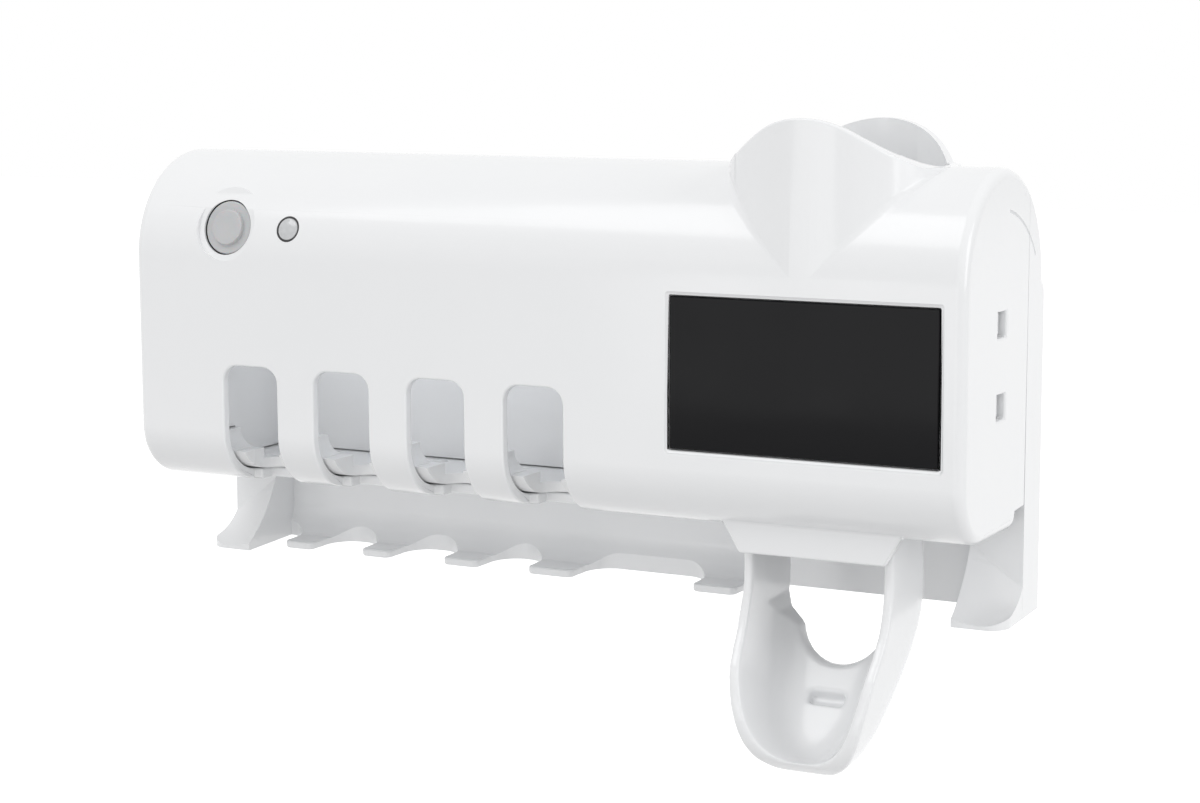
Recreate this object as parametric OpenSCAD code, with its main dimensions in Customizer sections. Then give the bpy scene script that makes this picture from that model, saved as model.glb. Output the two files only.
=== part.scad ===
// Wall-mounted UV toothbrush holder with a solar panel and a toothpaste press.
// X runs along the wall, Y into the wall, Z up.
// The back lies in the plane y = 0 and the casing's underside in z = 0.

/* [Casing] */
// Width of the casing along the wall
body_w = 190; // [186:1:204]
// Depth of the casing from the wall to its front face
body_d = 45; // [44:0.5:48]
// Height of the casing from its underside to the top of its round roof
body_h = 71; // [70:0.5:76]
// Thickness of the casing walls
wall = 2.2; // [1.8:0.1:2.6]
// Radius of the lower front edge
toe_r = 12; // [10:0.5:14]
// Rounding where the ends meet the front and the roof
end_r = 3.5; // [2:0.5:4]
// Depth of the rear housing where it shows at the ends
seam_y = 9.5; // [9:0.5:12]
// Open seam between cover and rear housing
seam_gap = 0.3; // [0.2:0.05:0.5]

/* [Wall plate and ledge] */
// How far the wall plate reaches below the casing
plate_drop = 19.7; // [18:0.5:24]
// Width of each foot
foot_w = 11; // [9:0.5:12]
// Reach of the ledge from the wall
ledge_d = 20.5; // [18:0.5:22]
// Height of the ledge's front face
ledge_t = 4.2; // [3:0.2:5]
// Radius of the hollow between plate and ledge
cove_r = 12.3; // [11:0.1:13]
// Width of one ledge finger
finger_w = 8; // [6:0.5:9]

/* [Toothbrush windows] */
// Number of windows
slots = 4; // [2:1:4]
// Centre of the first window
slot_x = -65.4; // [-68:0.1:-64]
// Distance from one window to the next
slot_pitch = 23; // [22:0.5:24]
// Width of a window
slot_w = 13.7; // [12:0.1:15]
// Height of a window's top edge
slot_top = 26.2; // [24:0.1:28]
// Corner radius of a window
slot_r = 3.5; // [2:0.5:5]
// Width of the neck notch in the tray
neck_w = 8.6; // [7:0.1:10]
// How far back the neck notch reaches from the front face
neck_d = 14; // [12:0.5:15]

/* [Solar panel] */
// Centre of the panel along the wall
panel_x = 62.1; // [61:0.1:64]
// Height of the panel's centre
panel_z = 30.9; // [29:0.1:32]
// Width of the panel
panel_w = 55.6; // [50:0.1:58]
// Height of the panel
panel_h = 30; // [26:0.5:32]
// Thickness of the clear front
glass_t = 0.8; // [0.6:0.1:1.2]
// Thickness of the cell board
cells_t = 0.8; // [0.6:0.1:1.2]

/* [Button and lens] */
// Place of the button along the wall
button_x = -71.6; // [-74:0.1:-70]
// Radius of the button
button_r = 5.6; // [5:0.1:6]
// Free travel of the button
button_travel = 0.8; // [0.6:0.1:1]
// Place of the lens along the wall
lens_x = -55.6; // [-57:0.1:-54]
// Radius of the lens
lens_r = 2.5; // [2:0.1:3]
// Tilt of both above the horizontal
face_tilt = 19; // [16:1:22]

/* [Tube socket] */
// Centre of the socket along the wall
tower_x = 61.5; // [60:0.1:63]
// Height of the tower above the roof
tower_rise = 9.6; // [8:0.1:11]
// Radius of the neck hole in the collar
neck_r = 6.5; // [6:0.1:7]
// Height of the collar
collar_h = 12; // [10:0.5:13]

/* [Lever] */
// Half the width of the lever
lever_hw = 15.8; // [15:0.1:16]
// Wall of the lever
lever_t = 2; // [1.8:0.1:2.4]
// Lowest point of the lever below the casing's underside
lever_drop = 47.4; // [45:0.1:50]
// Pivot distance from the wall
pivot_y = 30; // [29:0.5:31]
// Pivot height
pivot_z = 6; // [5.5:0.5:7]
// Radius of the pivot pin
pin_r = 1.5; // [1.2:0.1:1.8]

/* [Pump] */
// Outer radius of the squeeze sleeve
sleeve_r = 5; // [4.5:0.1:5.4]
// Wall of the squeeze sleeve
sleeve_t = 1; // [0.8:0.1:1.2]
// Wall of the pump frame
frame_t = 2.2; // [1.8:0.1:2.6]

/* [Battery] */
// Radius of the cell
cell_r = 9.1; // [8:0.1:9.2]
// Length of the cell
cell_l = 65; // [50:1:68]

/* [Hidden] */
$fn = 64;
eps = 0.01;
// Clearance of fixed pieces, and of pieces that run on a pin
fit = 0.3;
run = 0.08;
roof_r = body_d / 2;
roof_z = body_h - roof_r;
tower_y = -roof_r;
tower_r = roof_r;
tower_bore = tower_r - wall;
tower_top = body_h + tower_rise;
slot_centres = [for (i = [0 : slots - 1]) slot_x + i * slot_pitch];
slot_last = slot_x + (slots - 1) * slot_pitch;
floor_z = wall + fit;

// Draws a flat outline of Y and Z as a bar along X, centred on x = 0
module along_x(length) {
    rotate([90, 0, 90]) translate([0, 0, -length / 2]) linear_extrude(length) children();
}

// Draws a flat outline of X and Z as a bar from y = back to y = front
module along_y(front, back) {
    translate([0, -back, 0]) rotate([90, 0, 0]) linear_extrude(front - back) children();
}

// Stands a shape on the round roof, its Z axis pointing straight out of the casing
module on_roof(x, depth = 0) {
    translate([x, -roof_r, roof_z]) rotate([-face_tilt, 0, 0]) translate([0, depth - roof_r, 0])
        rotate([90, 0, 0]) children();
}

module rounded_bar(w, h, r) {
    translate([-w / 2 + r, 0]) square([w - 2 * r, h]);
    translate([-w / 2, r]) square([w, h - 2 * r]);
    for (x = [-1, 1], z = [r, h - r]) translate([x * (w / 2 - r), z]) circle(r);
}

// Half the length of the casing, and how far its outline is drawn in, round its end edge
function end_half(a) = body_w / 2 - end_r * (1 - cos(a));
function end_inset(a) = end_r * (1 - sin(a));

// The whole casing as a block: round roof, flat front, round lower front edge
module casing_block() {
    hull() for (a = [0 : 22.5 : 90]) {
        i = end_inset(a);
        translate([0, -roof_r, roof_z]) rotate([0, 90, 0])
            cylinder(r = roof_r - i, h = 2 * end_half(a), center = true, $fn = 96);
        translate([0, toe_r - body_d, toe_r]) rotate([0, 90, 0])
            cylinder(r = toe_r - i, h = 2 * end_half(a), center = true, $fn = 48);
        translate([-end_half(a), -toe_r, i]) cube([2 * end_half(a), toe_r - i, toe_r]);
    }
}

// The rear half's block, which runs on down as the wall plate
module rear_block() {
    hull() for (a = [0 : 22.5 : 90]) {
        i = end_inset(a);
        translate([0, -roof_r, roof_z]) rotate([0, 90, 0])
            cylinder(r = roof_r - i, h = 2 * end_half(a), center = true, $fn = 96);
        translate([-end_half(a), -roof_r, i - plate_drop]) cube([2 * end_half(a), roof_r - i, roof_r]);
    }
}

// Outline of the casing's inside in Y and Z, drawn in by t
module casing_inside(t) {
    translate([-roof_r, roof_z]) circle(roof_r - t, $fn = 128);
    translate([toe_r - body_d, toe_r]) circle(toe_r - t);
    translate([t - body_d, toe_r]) square([body_d - 2 * t, roof_z - toe_r]);
    translate([toe_r - body_d, t]) square([body_d - toe_r - t, roof_z - t]);
}

// Everything under the tower's front rim in X and Z: a round crown with sloping shoulders
module front_rim_outline(extra = 0) {
    crown_r = 18;
    c = tower_top - crown_r;
    // The shoulders touch the crown and end where the bore meets the roof line
    slope = 90 - atan2(body_h - c, tower_bore) - acos(crown_r / norm([tower_bore, body_h - c]));
    sx = crown_r * sin(slope);
    translate([tower_x, 0]) {
        translate([0, c]) circle(crown_r + extra, $fn = 96);
        polygon([[-sx, c + crown_r * cos(slope)], [sx, c + crown_r * cos(slope)],
            [tower_bore, body_h], [tower_r + 4, body_h], [tower_r + 4, 0],
            [-tower_r - 4, 0], [-tower_r - 4, body_h], [-tower_bore, body_h]]);
    }
}

// Everything under the tower's rear rim: one round arch over the roof line
module rear_rim_outline() {
    arch_r = 18.5;
    translate([tower_x, 0]) {
        translate([0, tower_top - arch_r]) circle(arch_r, $fn = 96);
        translate([-tower_r - 4, 0]) square([2 * tower_r + 8, body_h]);
    }
}

// The tower that takes the toothpaste tube, cut to its saddle-shaped rim
module tower_block() {
    intersection() {
        translate([tower_x, tower_y, roof_z]) cylinder(r = tower_r, h = tower_top - roof_z, $fn = 128);
        union() {
            along_y(body_d + 1, roof_r) front_rim_outline();
            along_y(roof_r, -1) rear_rim_outline();
        }
    }
}

// Half-space in front of the seam, or behind it
module in_front() {
    translate([-body_w, -2 * body_d, -body_w]) cube([2 * body_w, 2 * body_d - seam_y - seam_gap / 2, 2 * body_w]);
}

module behind() {
    translate([-body_w, -seam_y + seam_gap / 2, -body_w]) cube([2 * body_w, seam_y, 2 * body_w]);
}

// Window outline in X and Z, open downwards
module slot_outline() {
    for (x = slot_centres) translate([x, -2]) {
        rounded_bar(slot_w, slot_top + 2, slot_r);
        translate([-slot_w / 2, 0]) square([slot_w, slot_top / 2]);
    }
}

latch_z = [25.3, 41.2];
latch_y = 24.5;
latch_w = 5;
boss_r = 4;
screw_r = 1.3;
boss_places = [[-86, 39], [-86, 12], [28, 50], [28, 12], [88, 50], [88, 14.5]];
boss_split = 15;
apron_y = 38.3;
apron_t = 2;
opening_hw = lever_hw + 0.6;
socket_y = 20;
socket_z = 48;
panel_depth = glass_t + cells_t + 0.2;
board_depth = 9.5;
board_screw_x = 17.5;
pump_x = tower_x;
pump_y = -roof_r;
foot_top = 6;
pump_foot = opening_hw + frame_t + 3.7;
pump_foot_y = 22;

module front_cover() color("white") {
    difference() {
        union() {
            intersection() {
                union() {
                    casing_block();
                    tower_block();
                }
                in_front();
            }
            // Apron in front of the lever's arms
            along_y(apron_y, apron_y - apron_t) polygon([[tower_x - 20, 3], [tower_x - 15.3, -5],
                [tower_x + 15.3, -5], [tower_x + 20, 3]]);
        }
        // Hollow of the casing
        difference() {
            along_x(body_w - 2 * wall) casing_inside(wall);
            // Bosses for the cover screws
            for (p = boss_places) translate([p[0], -boss_split, p[1]]) rotate([90, 0, 0])
                difference() {
                    cylinder(r = boss_r, h = body_d);
                    translate([0, 0, -1]) cylinder(r = screw_r, h = 13, $fn = 32);
                }
            // Posts for the pump frame, and a shelf for the charging board
            for (s = [-1, 1]) translate([pump_x + s * pump_foot, -pump_foot_y, 0]) difference() {
                cylinder(r = 3, h = foot_top);
                translate([0, 0, wall]) cylinder(r = 1.12, h = foot_top, $fn = 24);
            }
            translate([-body_w / 2, -socket_y - 6, socket_z - 4.1]) cube([13, 10, 1.3]);
            // Posts for the button board
            for (s = [-1, 1]) on_roof((button_x + lens_x) / 2 + s * board_screw_x, board_depth)
                translate([0, 0, 0.1]) difference() {
                    cylinder(r = 2.4, h = board_depth);
                    translate([0, 0, -1]) cylinder(r = 1.12, h = 4, $fn = 24);
                }
            // Pad behind the solar panel
            translate([panel_x - panel_w / 2 - 2, -body_d, panel_z - panel_h / 2 - 2])
                cube([panel_w + 4, panel_depth + 1.4, panel_h + 4]);
        }
        // Bore of the tower
        translate([tower_x, tower_y, roof_z]) cylinder(r = tower_bore, h = body_h, $fn = 96);
        // Toothbrush windows, running down through the underside
        along_y(body_d + 1, body_d - neck_d + 3) slot_outline();
        for (x = slot_centres) translate([x - neck_w / 2 - 0.5, -body_d, -1])
            cube([neck_w + 1, neck_d + 0.5, wall + 2]);
        // Recess for the solar panel
        translate([panel_x - panel_w / 2 - fit, -body_d - 1, panel_z - panel_h / 2 - fit])
            cube([panel_w + 2 * fit, panel_depth + 1, panel_h + 2 * fit]);
        // Holes and finger dish for the button, hole for the lens
        on_roof(button_x, 4) cylinder(r = button_r + 0.25, h = 6);
        on_roof(button_x) translate([0, 0, 16.5]) sphere(r = 17.8, $fn = 96);
        on_roof(lens_x, 4) cylinder(r = lens_r + fit, h = 6, $fn = 48);
        // Opening over the lever
        translate([tower_x - opening_hw, apron_t - apron_y - eps, -1])
            cube([2 * opening_hw, apron_y - apron_t, wall + 1.4]);
        // Latch windows in both ends
        for (z = latch_z) translate([-body_w, -latch_y - latch_w / 2, z - latch_w / 2])
            cube([2 * body_w, latch_w, latch_w]);
        // Lower rear corners, where the feet reach up under the cover
        for (s = [-1, 1]) translate([s * (body_w / 2 - foot_w / 2 + 1), -seam_y - 2.5, 0])
            cube([foot_w + 2.2, 7, 7.6], center = true);
        // Window for the charging socket
        translate([-body_w / 2, -socket_y, socket_z]) cube([20, 9, 4], center = true);
    }
}

// Foot outline in Y and Z: a hollow curve between the wall plate and the ledge's lip
module foot_outline() {
    difference() {
        translate([-ledge_d, -plate_drop]) square([ledge_d, plate_drop + 3.5]);
        translate([-ledge_d - 0.8, ledge_t + cove_r - plate_drop]) circle(cove_r, $fn = 96);
        translate([-2 * ledge_d, ledge_t + cove_r - plate_drop]) square([ledge_d, ledge_d]);
        translate([-ledge_d - 1, ledge_t + cove_r - plate_drop]) square([cove_r - 0.5, ledge_d]);
    }
}

// Finger outline: the same ledge on the thin plate, with a smaller hollow
module finger_outline() {
    hollow_r = cove_r - 4;
    difference() {
        translate([-ledge_d, -plate_drop]) square([ledge_d, ledge_t + hollow_r]);
        translate([-wall - hollow_r, ledge_t + hollow_r - plate_drop]) circle(hollow_r);
        translate([-ledge_d - 1, ledge_t - plate_drop]) square([ledge_d + 1 - wall - hollow_r, ledge_d]);
    }
}

// Plan of the ledge in X and Y: feet at both ends and one finger beside each handle's place
module ledge_plan() {
    lip_r = 2.5;
    for (x = concat([for (c = slot_centres) c - slot_pitch / 2], [slot_last + 1.3 * slot_pitch]))
        translate([x, -ledge_d]) rounded_bar(finger_w, ledge_d + 4, lip_r);
}

module foot(side) {
    tip_r = 4;
    intersection() {
        translate([side * (body_w - foot_w) / 2, 0, 0]) along_x(foot_w) foot_outline();
        translate([side * (body_w - foot_w) / 2, -ledge_d, -plate_drop - 1]) linear_extrude(plate_drop + 9)
            union() {
                translate([-foot_w / 2, tip_r]) square([foot_w, ledge_d]);
                translate([-foot_w / 2 + tip_r, 0]) square([foot_w - 2 * tip_r, ledge_d]);
                translate([-side * foot_w / 2 - (side > 0 ? 0 : tip_r), 0]) square([tip_r, ledge_d]);
                for (x = [-1, 1]) translate([x * (foot_w / 2 - tip_r), tip_r]) circle(tip_r);
            }
        // Rounded lower outer corner, as the wall plate has
        along_y(ledge_d + 1, -1) translate([0, -plate_drop])
            rounded_bar(body_w, plate_drop + body_h, end_r + 0.6);
    }
}

control_y = wall + 3;
control_w = 24;
control_h = 24;
control_x = -69;
control_z = 18;
control_holes = [control_z + 3, control_z + control_h - 3];
keyhole_x = 50;
keyhole_z = 52;
keyhole_head = 4.2;
keyhole_neck = 2.2;
pad_t = 1;
pad_size = [30, 16];
pad_places = [[-72, 30], [0, 30], [72, 30]];

module keyhole() {
    circle(keyhole_head);
    translate([0, 7]) circle(keyhole_neck);
    translate([-keyhole_neck, 0]) square([2 * keyhole_neck, 7]);
}

module rear_housing() color("whitesmoke") {
    inside_hw = body_w / 2 - wall;
    tongue_l = latch_y + latch_w / 2 - 0.4;
    difference() {
        union() {
            difference() {
                intersection() {
                    union() {
                        rear_block();
                        tower_block();
                    }
                    behind();
                }
                // Hollow of the casing and the open space under it
                along_x(2 * inside_hw) casing_inside(wall);
                translate([foot_w - body_w / 2, -body_d, -plate_drop - 1])
                    cube([body_w - 2 * foot_w, body_d - wall, plate_drop + 1]);
            }
            for (s = [-1, 1]) foot(s);
            intersection() {
                along_x(body_w - 2 * foot_w + 1) finger_outline();
                translate([0, 0, -plate_drop - 1]) linear_extrude(plate_drop) ledge_plan();
            }
            // Screw posts, which reach forward to the cover's bosses
            for (p = boss_places) translate([p[0], -wall + eps, p[1]]) rotate([90, 0, 0])
                cylinder(r = boss_r, h = boss_split - wall - 0.1);
            // Posts for the control board
            for (z = control_holes) translate([control_x, -wall + eps, z]) rotate([90, 0, 0])
                cylinder(r = 2.2, h = control_y - wall - 0.05, $fn = 32);
            // Latch tongues along both ends, with a hook in each window
            for (s = [-1, 1], z = latch_z) {
                translate([s * (inside_hw - fit - 0.8), -tongue_l / 2 - wall + 1, z])
                    cube([1.6, tongue_l, latch_w - 0.8], center = true);
                translate([s * (inside_hw - fit + 0.3), -latch_y, z])
                    cube([1.4, latch_w - 1.4, latch_w - 0.8], center = true);
            }
        }
        // Bore of the tower
        translate([tower_x, tower_y, roof_z]) cylinder(r = tower_bore, h = body_h, $fn = 96);
        // Screw holes with sunk heads
        for (p = boss_places) translate([p[0], 1, p[1]]) rotate([90, 0, 0]) {
            cylinder(r = screw_r + 0.4, h = boss_split + 2, $fn = 32);
            cylinder(r = 3, h = 9.5, $fn = 32);
        }
        for (z = control_holes) translate([control_x, -wall + 0.6, z]) rotate([90, 0, 0])
            cylinder(r = 0.97, h = 20, $fn = 24);
        // Keyholes for wall screws
        for (s = [-1, 1]) translate([s * keyhole_x - 8, 0, keyhole_z - 10]) along_y(wall + 1, -1) keyhole();
        // Shallow beds of the adhesive pads
        for (p = pad_places) translate([p[0] - pad_size[0] / 2 - fit, -pad_t, p[1] - pad_size[1] / 2 - fit - 8])
            cube([pad_size[0] + 2 * fit, pad_t + 1, pad_size[1] + 2 * fit]);
    }
}

tray_x0 = slot_x - slot_pitch / 2 - 2;
tray_x1 = slot_last + slot_pitch / 2 + 2;
tray_back = 13.6;
lip_d = 11;
cradle_z = 7;
divider_z = 11;

module brush_tray() color("ghostwhite") {
    floor_top = floor_z + wall;
    difference() {
        intersection() {
            translate([(tray_x0 + tray_x1) / 2, 0, 0]) along_x(tray_x1 - tray_x0) casing_inside(wall + fit);
            union() {
                // Front lip with dividers between the cradles
                along_y(body_d, body_d - lip_d) difference() {
                    translate([tray_x0, 0]) square([tray_x1 - tray_x0, divider_z]);
                    for (x = slot_centres) translate([x, 0]) {
                        translate([-7.5, cradle_z]) square([15, divider_z]);
                        translate([-10, divider_z - 1]) square([20, divider_z]);
                        for (s = [-1, 1]) translate([s * 6.5, cradle_z + 4]) circle(4, $fn = 48);
                        translate([-neck_w / 2, 0]) square([neck_w, divider_z]);
                    }
                }
                // Floor
                translate([tray_x0, -body_d, 0]) cube([tray_x1 - tray_x0, body_d - tray_back, floor_top]);
                // Back rim
                translate([tray_x0, -tray_back - wall, 0]) cube([tray_x1 - tray_x0, wall, floor_top + 3]);
            }
        }
        // Neck notches with round ends
        for (x = slot_centres) {
            translate([x - neck_w / 2, -body_d, -1]) cube([neck_w, neck_d - neck_w / 2, divider_z + 4]);
            translate([x, neck_d - neck_w / 2 - body_d, -1]) cylinder(d = neck_w, h = divider_z + 4);
        }
    }
}

liner_t = 1.4;
liner_top = 34;
lamp_y = 28;
lamp_w = 12;

module chamber_liner() color("gainsboro") {
    y0 = tray_back + wall + fit;
    z0 = floor_z + wall + fit;
    front = body_d - wall - fit;
    difference() {
        union() {
            // Back wall, roof and two ends, which go down behind the tray's front lip
            translate([tray_x0, -y0 - liner_t, z0]) cube([tray_x1 - tray_x0, liner_t, liner_top - z0]);
            translate([tray_x0, -front, liner_top - liner_t]) cube([tray_x1 - tray_x0, front - y0, liner_t]);
            for (x = [tray_x0, tray_x1 - liner_t]) {
                translate([x, -front, divider_z + fit]) cube([liner_t, front - y0, liner_top - divider_z - fit]);
                translate([x, lip_d + fit - body_d, z0]) cube([liner_t, body_d - lip_d - fit - y0, divider_z]);
            }
            // Round fillet between back wall and roof
            translate([tray_x0, -y0 - 6, liner_top - 6]) difference() {
                cube([tray_x1 - tray_x0, 6, 6]);
                translate([-1, 0, 0]) rotate([0, 90, 0]) cylinder(r = 4.8, h = body_w, $fn = 48);
            }
        }
        // Opening for the lamp window
        translate([slot_x - 6, -lamp_y - lamp_w / 2, liner_top - 3])
            cube([slot_last - slot_x + 12, lamp_w, 4]);
    }
}

module lamp_window() color("lightcyan") {
    translate([slot_x - 6 + fit, -lamp_y - lamp_w / 2 + fit, liner_top - liner_t])
        cube([slot_last - slot_x + 12 - 2 * fit, lamp_w - 2 * fit, liner_t]);
    translate([slot_x - 8, -lamp_y - lamp_w / 2 - 2, liner_top + 0.1])
        cube([slot_last - slot_x + 16, lamp_w + 4, 1]);
}

uv_board_z = liner_top + 4.2;
led_size = [3.5, 3.5, 1.6];

module uv_board() color("darkgreen") difference() {
    union() {
        translate([slot_x - 8, -lamp_y - 7, uv_board_z]) cube([slot_last - slot_x + 16, 14, 1.2]);
        // Standing ends that carry the board on the liner
        for (x = [slot_x - 8, slot_last + 6]) translate([x, -lamp_y - 7, liner_top + 1.4])
            cube([2, 14, uv_board_z - liner_top - 1.4 + eps]);
    }
    for (x = slot_centres) translate([x + slot_pitch / 2 - 3, -lamp_y, uv_board_z - 1])
        cylinder(r = 1.2, h = 4, $fn = 24);
}

module uv_leds() color("thistle") for (x = slot_centres)
    translate([x, -lamp_y, uv_board_z - led_size[2] / 2 - 0.05]) {
        cube(led_size, center = true);
        translate([0, 0, -led_size[2] / 2 - 0.3]) cylinder(r = 1.2, h = 0.6, center = true, $fn = 32);
    }

module solar_glass() color("black") {
    translate([panel_x - panel_w / 2, -body_d + 0.15, panel_z - panel_h / 2]) cube([panel_w, glass_t, panel_h]);
}

module solar_cells() color("midnightblue") {
    border = 1.5;
    cell_count = 8;
    cell_w = (panel_w - 2 * border) / cell_count;
    y0 = -body_d + 0.15 + glass_t;
    translate([panel_x - panel_w / 2, y0 + 0.25, panel_z - panel_h / 2])
        cube([panel_w, cells_t - 0.25, panel_h]);
    // Raised cells side by side
    for (i = [0 : cell_count - 1])
        translate([panel_x - panel_w / 2 + border + i * cell_w + 0.1, y0 + 0.05, panel_z - panel_h / 2 + border])
            cube([cell_w - 0.2, 0.3, panel_h - 2 * border]);
}

button_flange = 1.2;
stem_reach = 0.6;
skirt = wall + 2.6;
sink = 0.65;

module power_button() color("silver") {
    on_roof(button_x, skirt) rotate_extrude() difference() {
        union() {
            square([button_r, skirt - sink]);
            square([button_r + button_flange, 0.8]);
        }
        translate([0, -eps]) square([button_r - 1.2, skirt - sink - 1.5]);
        // Finger dish with a raised rim
        translate([0, skirt + 18.3 - sink - 0.6]) circle(18.3, $fn = 128);
    }
    // Stem that presses the switch
    on_roof(button_x, skirt) translate([0, 0, -stem_reach]) cylinder(r = 1.6, h = skirt - sink, $fn = 32);
}

module status_lens() color("lightgray") on_roof(lens_x, wall + 1.4) rotate_extrude() {
    square([lens_r, wall + 1.3]);
    square([lens_r + 1, 0.8]);
    intersection() {
        translate([0, wall - 0.8]) circle(3.3);
        translate([0, wall]) square([lens_r, 3]);
    }
}

module button_board() color("darkgreen") difference() {
    on_roof((button_x + lens_x) / 2, board_depth) translate([-20.5, -7, -1.2]) cube([41, 14, 1.2]);
    for (s = [-1, 1]) on_roof((button_x + lens_x) / 2 + s * board_screw_x, board_depth)
        translate([0, 0, -2]) cylinder(r = 1.2, h = 4, $fn = 24);
}

module button_switch() color("dimgray") {
    rest_gap = 0.15;
    plunger = board_depth - skirt - stem_reach - button_travel - rest_gap;
    on_roof(button_x, board_depth) {
        translate([-3, -3, 0.05]) cube([6, 6, 2.6]);
        translate([0, 0, 0.05]) cylinder(r = 1.7, h = plunger - 0.05, $fn = 32);
    }
}

module status_led() color("honeydew") on_roof(lens_x, board_depth) rotate_extrude() {
    translate([0, 0.05]) square([1.5, 3.8]);
    translate([0, 0.05]) square([1.8, 0.9]);
    intersection() {
        translate([0, 3.8]) circle(1.5);
        translate([0, 3.8]) square(2);
    }
}

cheek_hw = opening_hw + 0.3;
frame_top = 34;
shelf_z = pivot_z + pin_r + 1.1;
anvil_y = sleeve_r + 0.5 - pump_y;
press_gap = 0.3;
rod_r = 1.8;
block_y = -pump_y - sleeve_r - fit;
block_t = 2.6;
rod_y = block_y - block_t - press_gap - rod_r;
rod_z = pivot_z + 12;
peg_x = 9;
peg_r = 1.2;
block_z = 17;
peg_z = block_z + 8;

// Frame that carries the pin, the sleeve, the nozzle and the press block
module pump_frame() color("lightgray") difference() {
    union() {
        for (s = [-1, 1]) {
            // Cheeks with an eye for the pin
            translate([pump_x + s * (cheek_hw + frame_t / 2), 0, 0]) along_x(frame_t) {
                translate([-37.5, pivot_z + 2]) square([29, frame_top - pivot_z - 2]);
                translate([-pivot_y, pivot_z]) circle(3.4);
                translate([-pivot_y - 3.4, pivot_z]) square([6.8, 6]);
            }
            // Feet screwed to posts on the cover's underside
            translate([pump_x + s * (cheek_hw + frame_t + 2.9), -pump_foot_y, foot_top + 0.1 + frame_t / 2])
                cube([6.2, 8, frame_t], center = true);
        }
        // Top plate, anvil and shelf
        translate([pump_x - cheek_hw - frame_t, -37.5, frame_top - frame_t])
            cube([2 * (cheek_hw + frame_t), 29, frame_t]);
        translate([pump_x - 12.4, -anvil_y - frame_t, shelf_z + 5]) cube([24.8, frame_t, frame_top - shelf_z - 5]);
        translate([pump_x - 7.4, -anvil_y - frame_t, shelf_z]) cube([14.8, frame_t, 6]);
        translate([pump_x - 7.4, -anvil_y - frame_t, shelf_z]) cube([14.8, anvil_y + frame_t - 16, frame_t]);
    }
    translate([pump_x, pump_y, 0]) {
        cylinder(r = sleeve_r - sleeve_t + 0.3, h = frame_top - frame_t - 2);
        translate([0, 0, frame_top - frame_t - 1]) cylinder(r = sleeve_r + fit, h = 8);
    }
    // Pin bores, guide bores and screw holes
    translate([pump_x, -pivot_y, pivot_z]) rotate([0, 90, 0])
        cylinder(r = pin_r + 0.03, h = 60, center = true, $fn = 48);
    for (s = [-1, 1]) {
        translate([pump_x + s * peg_x, -anvil_y + 1, peg_z]) rotate([90, 0, 0])
            cylinder(r = peg_r + run, h = 8, $fn = 48);
        translate([pump_x + s * pump_foot, -pump_foot_y, 0]) cylinder(r = 1.4, h = 20, $fn = 24);
    }
}

module press_block() color("lightgray") {
    translate([pump_x - 11, -block_y, block_z]) cube([22, block_t, 12]);
    for (s = [-1, 1]) translate([pump_x + s * peg_x, -block_y + 0.5, peg_z]) rotate([90, 0, 0])
        cylinder(r = peg_r, h = anvil_y + frame_t - block_y + 1.5, $fn = 48);
}

module squeeze_sleeve() color("lavender") translate([pump_x, pump_y, 0]) difference() {
    translate([0, 0, shelf_z + frame_t + 1.65])
        cylinder(r = sleeve_r, h = frame_top + 0.1 - shelf_z - frame_t - 1.65);
    cylinder(r = sleeve_r - sleeve_t, h = 60);
}

module nozzle() color("whitesmoke") translate([pump_x, pump_y, 0]) rotate_extrude() difference() {
    shelf_top = shelf_z + frame_t;
    spigot_r = sleeve_r - sleeve_t - fit / 2;
    union() {
        polygon([[0, -2.5], [3, -2.5], [spigot_r, 2], [spigot_r, shelf_top + 0.1], [0, shelf_top + 0.1]]);
        translate([0, shelf_top + 0.05]) square([sleeve_r + 0.2, 1.5]);
        translate([0, 2]) square([spigot_r, shelf_top + 3]);
    }
    translate([-1, -10]) square([3.1, 60]);
}

module outlet_valve() color("tomato") translate([pump_x, pump_y, 0]) difference() {
    rotate_extrude() polygon([[3.95, 0.8], [3.2, -2.65], [0, -2.65], [0, -4.4], [1.2, -4.4], [4.7, -1.6], [4.7, 0.8]]);
    // Cross slit that opens under pressure
    for (a = [0, 90]) rotate([0, 0, a]) cube([1.8, 0.2, 12], center = true);
}

module neck_adapter() color("whitesmoke") translate([pump_x, pump_y, 0]) difference() {
    union() {
        translate([0, 0, frame_top - 4]) cylinder(r = sleeve_r - sleeve_t - fit / 2, h = 6);
        translate([0, 0, frame_top + 1.7]) cylinder(r = neck_r + 3.4, h = collar_h + 0.7);
        translate([0, 0, frame_top + 0.2]) cylinder(r = sleeve_r + 4.2, h = 1.8);
    }
    translate([0, 0, frame_top - 10]) cylinder(r = sleeve_r - sleeve_t - 1.2, h = 60);
    translate([0, 0, frame_top + 3.4]) cylinder(r = neck_r + 1.7 + fit / 2, h = 60);
}

module neck_collar() color("gray") translate([pump_x, pump_y, frame_top + 3.5]) difference() {
    union() {
        cylinder(r = neck_r + 1.7, h = collar_h);
        translate([0, 0, collar_h - 1]) cylinder(r = neck_r + 3.2, h = 1.6);
    }
    translate([0, 0, -1]) cylinder(r = neck_r, h = collar_h + 4);
}

// Funnel in the tower that the shoulder of the toothpaste tube rests on
module tube_seat() color("white") {
    seat_z = frame_top + collar_h + 4.4;
    rim = tower_bore - fit;
    translate([pump_x, pump_y, seat_z]) rotate_extrude() polygon([[neck_r + 1, 0], [neck_r + 5, 0],
        [rim, 8], [rim, 14], [rim - 1.8, 14], [rim - 1.8, 9], [neck_r + 4, 2], [neck_r + 1, 2]]);
}

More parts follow.
